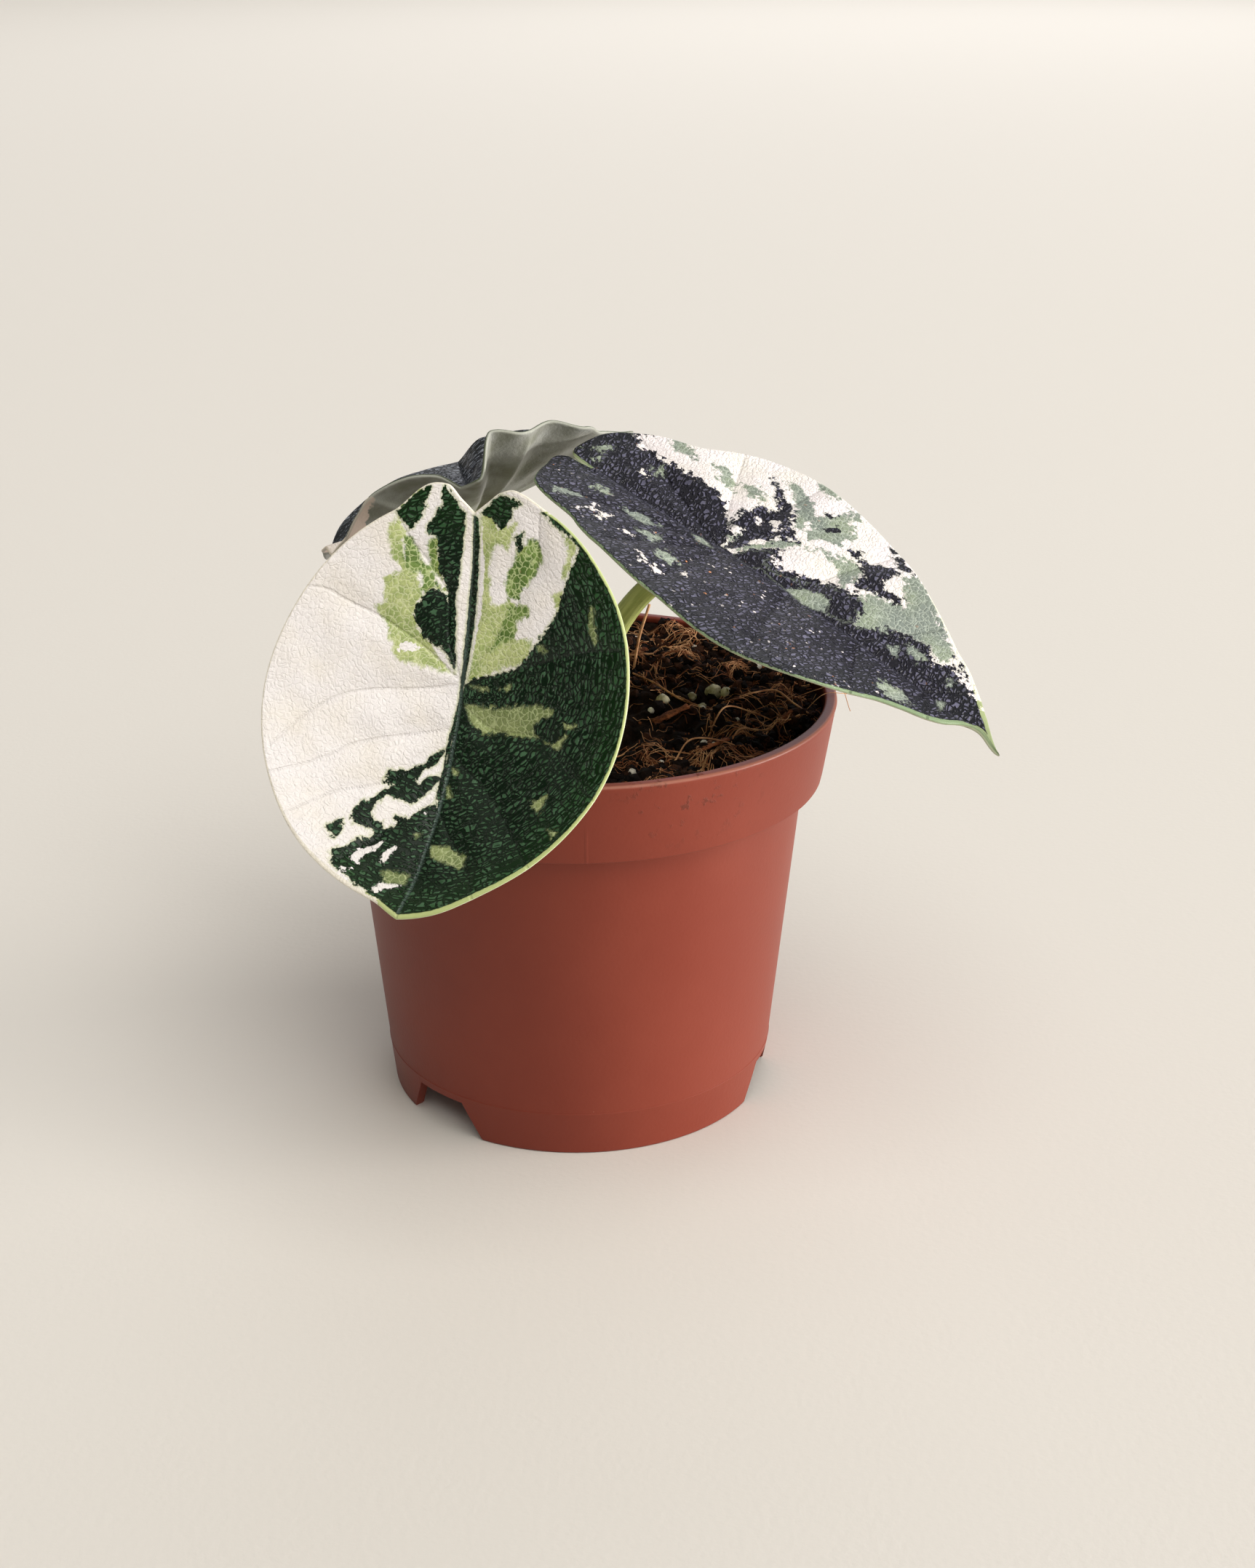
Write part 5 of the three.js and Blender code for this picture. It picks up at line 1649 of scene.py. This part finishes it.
@dataclass
class SoilBed:
    """The peat in the pot and all that lies on it.

    level, tilt, lump, hollow and mound are the CAD model's. mats are swells of how thickly the
    litter lies, negative where the peat is bare. The peat grows calm towards calm_radius, and no
    litter lies outside litter_radius.
    """

    pot: Pot
    level: float = 92.2
    tilt: float = 0.045
    lump: float = 0.9
    hollow: Swell = (-6, -20, 4.5, 17)
    mound: Swell = (-2, 4, 1.6, 20)
    mats: tuple[Swell, ...] = (
        (24, -31, 0.45, 9), (36, -22, 0.4, 9), (8, -8, -0.7, 15), (-12, -30, -0.5, 16), (20, 12, -0.4, 8),
    )
    gap: float = 0.3
    calm_radius: float = 56.5
    litter_radius: float = 55.2
    cells: int = 270
    lumps: Lumps = field(default_factory=lambda: Lumps(11))

    def _bell(self, x: Array, y: Array, swell: Swell) -> Array:
        """How high a swell is at some places."""
        middle_x, middle_y, height, radius = swell
        return height * np.exp(-((x - middle_x) ** 2 + (y - middle_y) ** 2) / radius**2)

    def broad_height(self, x: Array, y: Array) -> Array:
        """The soil's height as the CAD model has it."""
        wave = np.sin(x * 0.31 + 1.3) * np.sin(y * 0.27 + 0.4) + 0.6 * np.sin(x * 0.63 - y * 0.55 + 2)
        bells = self._bell(x, y, self.mound) - self._bell(x, y, self.hollow)
        return self.level + self.tilt * y + self.lump * wave + bells

    def height(self, x: Array, y: Array) -> Array:
        """The soil's height with its crumbs, lower near the wall."""
        clods = self.lumps.at(x, y, 5.5) * 0.9
        crumbs = self.lumps.at(y, x, 2.3) * 0.75
        grains = self.lumps.at(x, -y, 1.0) * 0.45
        pits = np.minimum(self.lumps.at(-x, y, 3.4) + 0.25, 0) * 2.2
        calm = np.clip((self.calm_radius - np.hypot(x, y)) / 3, 0.25, 1)
        return self.broad_height(x, y) + (clods + crumbs + grains + pits) * calm - 0.2

    def edge_radius(self, turn: Array) -> Array:
        """How far the soil's top reaches at each turn, in degrees."""
        nominal = self.pot.inner_radius(self.level) - self.gap
        x, y = nominal * np.cos(turn * RADIANS), nominal * np.sin(turn * RADIANS)
        inner = np.array([self.pot.inner_radius(z) for z in self.broad_height(x, y)])
        return np.minimum(inner, self.pot.rim_radius - self.pot.lip_width) - 2 * self.gap

    def top(self) -> tuple[Array, Array, Array]:
        """The soil's top as points and faces, with the ring of each point."""
        ring, turn, grid = disc_grid(self.cells)
        reach = self.edge_radius(turn) * ring / (self.cells // 2)
        x, y = reach * np.cos(turn * RADIANS), reach * np.sin(turn * RADIANS)
        return np.stack([x, y, self.height(x, y)], 1), grid, ring

    def build_body(self) -> bpy.types.Object:
        """Builds the closed block of soil down to the pot's base."""
        points, grid, ring = self.top()
        rim = np.flatnonzero(ring == self.cells // 2)
        rim = rim[np.argsort(np.arctan2(points[rim, 1], points[rim, 0]))]
        turns = np.arctan2(points[rim, 1], points[rim, 0])
        pot = self.pot
        bottom = pot.base_underside + pot.base_thickness + self.gap
        levels = (pot.shoulder + pot.wall, pot.shoulder - pot.wall, bottom)
        walls = []
        rows = [rim]
        for number, z in enumerate(levels):
            walls.append(circle(turns, pot.inner_radius(z) - 2 * self.gap, z))
            rows.append(len(points) + number * len(rim) + np.arange(len(rim)))
        everything = np.concatenate([points, *walls, [[0, 0, bottom]]])
        faces = [list(face) for face in grid]
        for high, low in zip(rows[:-1], rows[1:]):
            for here in range(len(rim)):
                after = (here + 1) % len(rim)
                faces.append([low[here], low[after], high[after], high[here]])
        centre = len(everything) - 1
        last = rows[-1]
        faces.extend([[centre, last[(here + 1) % len(rim)], last[here]] for here in range(len(rim))])
        return make_piece("soil_fine", everything, faces, [PEAT.material()])

    def bed(self) -> bpy.types.Object:
        """The soil's top alone, with how much litter lies where."""
        points, grid, _ = self.top()
        x, y = points[:, 0], points[:, 1]
        mats = sum(self._bell(x, y, mat) for mat in self.mats)
        rim = np.clip((np.hypot(x, y) - 34) / 8, 0, 1) * (x > -10)
        thick = 0.3 + 0.45 * self.lumps.at(x, y, 6.0) + mats + 0.3 * rim + 0.2 * np.clip(y / 10, 0, 1)
        inside = np.hypot(x, y) < self.litter_radius
        measures = {"litter": np.clip(thick, 0.06, 1) * inside}
        return make_piece("soil_bed", points, grid, [], None, measures)

    def crumb_tree(self) -> bpy.types.NodeTree:
        """A tree that strews rough grains over a surface."""
        inputs = ("Per square metre", "Least size", "Most size", "Facets")
        sheet = GrowthSheet("strewn_grains", inputs)
        given = sheet.given
        ball = {"Radius": 1.0, "Subdivisions": given["Facets"]}
        grain = sheet.node("GeometryNodeMeshIcoSphere", None, ball)
        size = sheet.chance(given["Least size"], given["Most size"], 1)
        shape = sheet.chances((0.6, 0.6, 0.6), (1.25, 1.25, 1.25), 2)
        scale = sheet.vector("SCALE", shape, size)
        turn = sheet.chances((0, 0, 0), (math.tau, math.tau, math.tau), 3)
        sockets = {"Points": sheet.scattered(), "Instance": grain.outputs[0], "Rotation": turn,
                   "Scale": scale}
        spread = sheet.node("GeometryNodeInstanceOnPoints", None, sockets)
        real = sheet.node("GeometryNodeRealizeInstances", None, {0: spread.outputs[0]})
        dent = sheet.node("ShaderNodeTexNoise", None, {"Scale": 900.0, "Detail": 1.0})
        centred = sheet.vector("SUBTRACT", dent.outputs["Color"], (0.5, 0.5, 0.5))
        push = sheet.vector("SCALE", centred, given["Least size"])
        moved = sheet.node("GeometryNodeSetPosition", None, {0: real.outputs[0], "Offset": push})
        return sheet.end(moved.outputs[0])

    def fibre_tree(self) -> bpy.types.NodeTree:
        """A tree that lays curved hairs over a surface."""
        inputs = ("Per square metre", "Shortest", "Longest", "Radius", "Arch")
        sheet = GrowthSheet("laid_hairs", inputs)
        given = sheet.given
        ends = {"Start": (-0.5, 0, 0), "End": (0.5, 0, 0)}
        line = sheet.node("GeometryNodeCurvePrimitiveLine", None, ends)
        hair = sheet.node("GeometryNodeResampleCurve", None, {"Curve": line.outputs[0], "Count": 13})
        length = sheet.chance(given["Shortest"], given["Longest"], 1)
        turn = sheet.chances((0, 0, 0), (0, 0, math.tau), 2)
        sockets = {"Points": sheet.scattered(), "Instance": hair.outputs[0], "Rotation": turn,
                   "Scale": length}
        spread = sheet.node("GeometryNodeInstanceOnPoints", None, sockets)
        real = sheet.node("GeometryNodeRealizeInstances", None, {0: spread.outputs[0]})
        bend = sheet.node("ShaderNodeTexNoise", None, {"Scale": 150.0, "Detail": 1.0})
        centred = sheet.vector("SUBTRACT", bend.outputs["Color"], (0.5, 0.5, 0.45))
        push = sheet.vector("SCALE", centred, 0.011)
        bent = sheet.node("GeometryNodeSetPosition", None, {0: real.outputs[0], "Offset": push})
        spot = sheet.node("GeometryNodeInputPosition").outputs[0]
        above = sheet.vector("ADD", spot, (0, 0, 0.03))
        down = sheet.node("GeometryNodeRaycast", None,
                          {"Target Geometry": given["Geometry"], "Source Position": above,
                           "Ray Direction": (0, 0, -1), "Ray Length": 0.1})
        rest = sheet.node("ShaderNodeTexNoise", None, {"Scale": 110.0, "Detail": 0.0})
        lift = sheet.maths("MULTIPLY", Value(sheet, rest.outputs[0]).rise(0.42, 0.75), given["Arch"])
        raised = sheet.node("ShaderNodeCombineXYZ", None, {2: lift + 0.0003})
        laid = sheet.vector("ADD", down.outputs["Hit Position"], raised.outputs[0])
        sockets = {0: bent.outputs[0], "Selection": down.outputs["Is Hit"], "Position": laid}
        lying = sheet.node("GeometryNodeSetPosition", None, sockets)
        missed = sheet.node("FunctionNodeBooleanMath", {"operation": "NOT"}, {0: down.outputs["Is Hit"]})
        kept = sheet.node("GeometryNodeDeleteGeometry", {"domain": "POINT"},
                          {0: lying.outputs[0], 1: missed.outputs[0]})
        ring = sheet.node("GeometryNodeCurvePrimitiveCircle", None,
                          {"Resolution": 3, "Radius": given["Radius"]})
        sockets = {"Curve": kept.outputs[0], "Profile Curve": ring.outputs[0], "Fill Caps": True}
        return sheet.end(sheet.node("GeometryNodeCurveToMesh", None, sockets).outputs[0])

    def strew(self) -> None:
        """Strews the crumbs and the fibres, and hands them in."""
        bed = self.bed()
        grains, hairs = self.crumb_tree(), self.fibre_tree()
        for kind in CRUMBS:
            hand_in(grown(kind.name, bed, grains, {
                "Per square metre": kind.per_square_cm * 1e4,
                "Least size": kind.least * MM,
                "Most size": kind.most * MM,
                "Facets": kind.facets,
                "Material": kind.finish.material(),
                "Seed": kind.seed,
            }), "peat")
        for hair in FIBRES:
            hand_in(grown(hair.name, bed, hairs, {
                "Per square metre": hair.per_square_cm * 1e4,
                "Shortest": hair.shortest * MM,
                "Longest": hair.longest * MM,
                "Radius": hair.radius * MM,
                "Arch": hair.arch * MM,
                "Material": hair.finish.material(),
                "Seed": hair.seed,
            }), "peat")
        bpy.data.objects.remove(bed)

    def on_soil(self, x: float, y: float, above: float) -> Array:
        """A point so far above the soil."""
        return np.array([x, y, float(self.height(np.array([x]), np.array([y]))[0]) + above])

    def _pebble(self, x: float, y: float, radius: float, seed: int) -> Shape:
        """A lumpy ball that sits in the soil."""
        ring, turn, grid = disc_grid(PEBBLE_CELLS)
        tilt = ring / (PEBBLE_CELLS // 2) * math.pi
        turn = turn * RADIANS
        unit = np.stack([np.sin(tilt) * np.cos(turn), np.sin(tilt) * np.sin(turn), np.cos(tilt)], 1)
        rough = 1 + 0.16 * Lumps(seed).at(unit[:, 0] * 3 + 9, unit[:, 1] * 3 + unit[:, 2] * 2 + 9, 1.0)
        points = self.on_soil(x, y, radius * 0.4) + unit * (radius * rough)[:, None]
        return points, grid.tolist()

    def _root(self, way: Sequence[Point], radius: float) -> Shape:
        """A root along some points over the soil."""
        points = [tuple(self.on_soil(*point)) for point in way]
        return rod(smooth_path(points, ROOT_STEPS), radius, ROOT_SIDES)

    def _chip(self, start: Point, end: Point, width: float, thick: float, seed: int) -> Shape:
        """A splintered flat chip."""
        path = np.linspace(self.on_soil(*start), self.on_soil(*end), CHIP_ROWS)
        draw = np.random.default_rng(seed)
        points, faces = rod(path, 1.0, CHIP_SIDES)
        middle = np.concatenate([np.repeat(path, CHIP_SIDES, axis=0), path[:1], path[-1:]])
        away = points - middle
        level = np.cross((path[-1] - path[0]) / np.linalg.norm(path[-1] - path[0]), (0, 0, 1))
        level /= np.linalg.norm(level)
        flat = away @ level
        shaped = np.outer(flat * (width - thick), level) + away * thick
        ragged = np.repeat(draw.uniform(0.55, 1.0, len(path)), CHIP_SIDES)
        shaped[: len(ragged)] *= ragged[:, None]
        shaped += draw.normal(0, 0.09, shaped.shape)
        return middle + shaped, faces

    def place_finds(self) -> None:
        """Places the beads, the perlite, the roots and the bark chips that the photograph shows."""
        groups = (
            ("soil_beads", BEAD, [self._pebble(*spot, 30 + i) for i, spot in enumerate(BEAD_SPOTS)]),
            ("soil_white_grains", PERLITE,
             [self._pebble(*spot, 50 + i) for i, spot in enumerate(PERLITE_SPOTS)]),
            ("soil_roots", COIR, [self._root(*root) for root in ROOTS]),
            ("soil_bark", BARK, [self._chip(*chip, 70 + i) for i, chip in enumerate(BARK_CHIPS)]),
        )
        for name, finish, parts in groups:
            hand_in(make_piece(name, *joined(parts), [finish.material()]), "peat")

    def build(self) -> None:
        """Builds the soil and all that lies on it."""
        hand_in(self.build_body(), "peat", "soil")
        self.strew()
        self.place_finds()


# The crown


@dataclass(frozen=True)
class CrownFinish:
    """Green stem base, browner towards the soil, with papery streaks."""

    name: str = "crown_green"
    flesh: Colour = srgb(136, 142, 84)
    shade: Colour = srgb(96, 102, 58)
    brown: Colour = srgb(88, 56, 36)

    def material(self) -> bpy.types.Material:
        """Builds the material."""
        sheet = FinishSheet(self.name)
        spot = sheet.millimetres()
        long = sheet.node("ShaderNodeMapping", {"vector_type": "POINT"}, {0: spot, 3: (1.4, 1.4, 0.15)})
        streak = sheet.noise(long.outputs[0], 1.0, 3.0)
        colour = sheet.mix(streak.rise(0.35, 0.65), self.flesh, self.shade)
        z = Value(sheet, sheet.node("ShaderNodeSeparateXYZ", None, {0: spot}).outputs[2])
        low = (z + (streak - 0.5) * 8.0).rise(98.0, 91.0)
        colour = sheet.mix(low * 0.8, colour, self.brown)
        return sheet.finish(colour, streak * 0.2 + 0.45, streak, 0.2, {"Specular IOR Level": 0.4})


@dataclass
class Crown:
    """The short stem base with a sheath round each leaf stalk."""

    leaves: Sequence[Leaf]
    centre: Spot = (-2, 0.5)
    radius: float = 7.0
    bottom: float = 70.0
    shoulder: float = 90.5
    top: float = 93.5
    sheath_length: float = 13.0
    sheath_root: float = 8.0
    sheath_wall: float = 0.9
    sheath_swell: float = 0.5
    sheath_rows: int = 14
    sheath_sides: int = 32
    stump_sides: int = 40
    voxel: float = 0.36

    def _stump(self) -> Shape:
        """The round stem base."""
        rows = (
            (self.bottom, self.radius - 1.5), (self.bottom + 3, self.radius),
            (self.shoulder, self.radius), (self.top - 0.8, self.radius - 2), (self.top, 1),
        )
        path = np.array([[*self.centre, z] for z, _ in rows])
        return rod(path, np.array([radius for _, radius in rows]), self.stump_sides)

    def _sheath(self, leaf: Leaf) -> Shape:
        """A sleeve round a stalk, thin and torn at its lip."""
        path = leaf.stalk_path()
        run = np.concatenate([[0], np.cumsum(np.linalg.norm(np.diff(path, axis=0), axis=1))])
        wanted = np.linspace(0, self.sheath_length, self.sheath_rows)
        along = np.stack([np.interp(wanted, run, path[:, axis]) for axis in range(3)], 1)
        root = along[0] - np.array([0, 0, self.sheath_root])
        way = np.concatenate([[root], along])
        share = np.linspace(0, 1, len(way))
        lip = leaf.stalk_base_radius + 0.3 + self.sheath_wall
        radii = lip + self.sheath_swell * (1 - share)
        radii[-1] = lip - 0.75
        return rod(way, radii, self.sheath_sides)

    def build(self) -> None:
        """Fuses the stump and the sheaths into one skin and hands it in."""
        parts = [self._stump(), *[self._sheath(leaf) for leaf in self.leaves]]
        crown = make_piece("stem_crown_fine", *joined(parts), [CrownFinish().material()])
        remesh = crown.modifiers.new("one skin", "REMESH")
        remesh.mode = "VOXEL"
        remesh.voxel_size = self.voxel * MM
        soften = crown.modifiers.new("soft joints", "SMOOTH")
        soften.factor = 0.5
        soften.iterations = 6
        applied(crown)
        crown.data.shade_smooth()
        hand_in(crown, "crown", "stem_crown")


# The studio


@dataclass(frozen=True)
class PaperFinish:
    """Pale warm paper for the floor."""

    name: str = "pale_paper"
    paper: Colour = srgb(221, 217, 210)
    shade: Colour = srgb(202, 196, 187)

    def material(self) -> bpy.types.Material:
        """Builds the material."""
        sheet = FinishSheet(self.name)
        spot = sheet.millimetres()
        grain = sheet.noise(spot, 0.6, 3.0)
        colour = sheet.mix(grain * 0.05, self.paper, self.shade)
        return sheet.finish(colour, grain * 0.1 + 0.75, grain, 0.05, {"Specular IOR Level": 0.2})


# What the lamps face
PLANT_MIDDLE = (0, 0, 80)


class LampKind(Enum):
    """What a light is: a soft box at a distance, or one so far away that it lights all evenly."""

    SOFTBOX = "AREA"
    DISTANT = "SUN"


@dataclass(frozen=True)
class Lamp:
    """One soft light that faces the plant.

    azimuth is 0 at the plant's right and -90 at its front. spread is the width in millimetres of
    a soft box, and the angle in degrees over which a distant light spreads. tallness is a soft
    box's height as a share of its width.
    """

    name: str
    kind: LampKind
    azimuth: float
    elevation: float
    distance: float
    spread: float
    power: float
    colour: tuple[float, float, float]
    tallness: float = 1.0

    def build(self) -> None:
        """Adds the light to the scene."""
        data = bpy.data.lights.new(self.name, self.kind.value)
        if self.kind is LampKind.SOFTBOX:
            data.shape = "ELLIPSE"
            data.size = self.spread * MM
            data.size_y = self.spread * self.tallness * MM
        else:
            data.angle = self.spread * RADIANS
        data.energy = self.power
        data.color = self.colour
        light = bpy.data.objects.new(self.name, data)
        turn, rise = self.azimuth * RADIANS, self.elevation * RADIANS
        level = math.cos(rise)
        away = np.array([math.cos(turn) * level, math.sin(turn) * level, math.sin(rise)])
        light.location = POT_FRAME.place(np.array(PLANT_MIDDLE) + away * self.distance)
        light.rotation_euler = Vector(-away).to_track_quat("-Z", "Y").to_euler()
        bpy.context.collection.objects.link(light)


LAMPS = (
    Lamp("right_softbox", LampKind.SOFTBOX, -4, 4.5, 2600, 1500, 84.0, (1.0, 0.96, 0.91), 0.22),
    Lamp("overhead", LampKind.DISTANT, -140, 78, 1500, 80, 0.5, (1.0, 0.96, 0.88)),
    Lamp("front_top", LampKind.DISTANT, -70, 62, 1500, 60, 2.0, (1.0, 0.97, 0.93)),
    Lamp("front_right", LampKind.DISTANT, -48, 30, 1500, 50, 0.85, (1.0, 0.98, 0.94)),
    Lamp("back_softbox", LampKind.SOFTBOX, 78, 28, 3600, 3000, 27.0, (1.0, 1.0, 1.05)),
)


@dataclass
class Studio:
    """The floor, the lights and the camera.

    The camera looks at target from the front, from so far away and so high up. focal_pixels is
    the photograph's focal length and frame_height its height, both in its own pixels.
    """

    target: Point = (11.7, 0, 73.1)
    distance: float = 563.9
    elevation: float = 22.1
    focal_pixels: float = 3300
    frame_height: float = 2156
    film: float = 36.0
    half_width: float = 4000
    front: float = -2500
    back: float = 6500
    ambient: float = 0.04
    ambient_colour: Colour = (1.0, 0.97, 0.92, 1.0)

    def build_floor(self) -> None:
        """A flat floor that reaches past the top of the picture."""
        side = self.half_width
        corners = [(-side, self.front), (side, self.front), (side, self.back), (-side, self.back)]
        points = np.array([(x, y, 0) for x, y in corners], float)
        make_piece("floor", points, [[0, 1, 2, 3]], [PaperFinish().material()])

    def light(self) -> None:
        """Soft light from the right, in front, above and behind, and a little from all round."""
        world = bpy.data.worlds.new("studio")
        world.use_nodes = True
        sky = world.node_tree.nodes["Background"]
        sky.inputs[0].default_value = self.ambient_colour
        sky.inputs[1].default_value = self.ambient
        bpy.context.scene.world = world
        for lamp in LAMPS:
            lamp.build()
        bpy.context.scene.view_settings.view_transform = "Standard"
        bpy.context.scene.view_settings.look = "None"

    def add_camera(self) -> None:
        """The photograph's viewing angle."""
        data = bpy.data.cameras.new("camera")
        data.sensor_width = self.film
        data.lens = self.focal_pixels / self.frame_height * self.film
        data.clip_start, data.clip_end = 0.01, 20
        tilt = self.elevation * RADIANS
        away = np.array([0, -math.cos(tilt), math.sin(tilt)]) * self.distance
        camera = bpy.data.objects.new("camera", data)
        camera.location = POT_FRAME.place(np.array(self.target) + away)
        camera.rotation_euler = (math.pi / 2 - tilt, 0, 0)
        bpy.context.collection.objects.link(camera)
        bpy.context.scene.camera = camera

    def build(self) -> None:
        """Builds the studio."""
        self.build_floor()
        self.light()
        self.add_camera()


# The whole plant

FRONT_COLOURS = BladeColours(
    cream=srgb(250, 245, 243), cream_shade=srgb(244, 236, 222),
    pale=srgb(192, 202, 136), pale_vein=srgb(226, 230, 184),
    netted=srgb(122, 148, 74), netted_vein=srgb(202, 214, 154),
    dark=srgb(9, 42, 14), dark_crest_highlight=srgb(70, 104, 74), dark_rim=srgb(24, 72, 8),
    sage=srgb(112, 126, 76), sage_vein=srgb(184, 194, 142),
    halo=srgb(166, 180, 96), furrow_shade=srgb(3, 20, 6), spine=srgb(104, 124, 116),
    margin_right=srgb(198, 208, 144), margin_left=srgb(194, 206, 138), margin_on_cream=srgb(240, 233, 216),
)
RIGHT_COLOURS = BladeColours(
    cream=srgb(236, 228, 228), cream_shade=srgb(226, 222, 206),
    pale=srgb(158, 171, 132), pale_vein=srgb(190, 199, 166),
    netted=srgb(120, 148, 108), netted_vein=srgb(170, 186, 150),
    dark=srgb(42, 40, 55), dark_crest_highlight=srgb(102, 101, 122), dark_rim=srgb(42, 46, 50),
    sage=srgb(124, 133, 126), sage_vein=srgb(172, 181, 168),
    halo=srgb(130, 140, 124), furrow_shade=srgb(13, 13, 19), spine=srgb(76, 76, 92),
    margin_right=srgb(134, 154, 118), margin_left=srgb(158, 170, 124), margin_on_cream=srgb(238, 234, 206),
)
BACK_COLOURS = BladeColours(
    cream=srgb(238, 228, 216), cream_shade=srgb(226, 210, 192),
    pale=srgb(150, 160, 120), pale_vein=srgb(190, 198, 160),
    netted=srgb(90, 110, 70), netted_vein=srgb(160, 170, 130),
    dark=srgb(82, 86, 97), dark_crest_highlight=srgb(156, 162, 172), dark_rim=srgb(62, 68, 66),
    sage=srgb(120, 130, 108), sage_vein=srgb(160, 170, 140),
    halo=srgb(140, 150, 110), furrow_shade=srgb(30, 32, 34), spine=srgb(60, 64, 72),
    margin_right=srgb(98, 106, 82), margin_left=srgb(88, 94, 74), margin_on_cream=srgb(226, 214, 190),
)


def make_leaves() -> list[Leaf]:
    """The three leaves.

    Returns:
        The front, the right and the back leaf.
    """
    stalk = StalkFinish().material()
    front = BladeFinish(
        "front_blade", Tone.CREAM,
        ((Tone.PALE, FRONT_PALE), (Tone.CREAM, FRONT_GAPS), (Tone.NETTED, FRONT_NETTED),
         (Tone.DARK, FRONT_DARK), (Tone.CREAM, FRONT_CREAM), (Tone.SAGE, FRONT_SAGE)),
        FRONT_COLOURS, seed=3.0, raggedness=0.6, flecks=0.04, freckles=0.02,
    )
    right = BladeFinish(
        "right_blade", Tone.DARK,
        ((Tone.CREAM, RIGHT_CREAM), (Tone.SAGE, RIGHT_SAGE), (Tone.DARK, RIGHT_DARK),
         (Tone.CREAM, RIGHT_ISLANDS), (Tone.SAGE, RIGHT_SAGE_ON_DARK)),
        RIGHT_COLOURS, seed=41.0, raggedness=1.5, flecks=0.42, freckles=0.34,
        relief=1.2, dark_roughness=0.4, gloss=0.2,
    )
    back = BladeFinish(
        "back_blade", Tone.DARK,
        ((Tone.CREAM, BACK_CREAM), (Tone.DARK, BACK_DARK)),
        BACK_COLOURS, seed=77.0, relief=1.2,
    )
    pale_under = UndersideFinish(
        "front_underside", srgb(196, 200, 170), srgb(150, 160, 130), srgb(214, 216, 184), srgb(232, 224, 206))
    grey_under = UndersideFinish(
        "right_underside", srgb(150, 152, 140), srgb(108, 112, 96), srgb(188, 192, 160), srgb(232, 224, 206))
    back_under = UndersideFinish(
        "back_underside", srgb(166, 167, 164), srgb(120, 122, 110), srgb(164, 166, 154), srgb(216, 198, 186),
        cream_layer="layer_0")
    return [
        Leaf("leaf_front", FRONT_FORM, front, pale_under, stalk, Wrinkles.ROUND, FRONT_RIBS, 0.34, 0.9),
        Leaf("leaf_right", RIGHT_FORM, right, grey_under, stalk, Wrinkles.ACROSS, (), 0.16, 1.2),
        Leaf("leaf_back", BACK_FORM, back, back_under, stalk, Wrinkles.ROUND, (), 0.2, 0.2),
    ]


def main() -> None:
    """Builds the plant and the studio in order."""
    logging.basicConfig(level=logging.INFO, format="%(message)s")
    pot = Pot()
    pot.build()
    SoilBed(pot).build()
    leaves = make_leaves()
    Crown(leaves).build()
    for leaf in leaves:
        leaf.build()
    Studio().build()


if __name__ == "__main__":
    main()
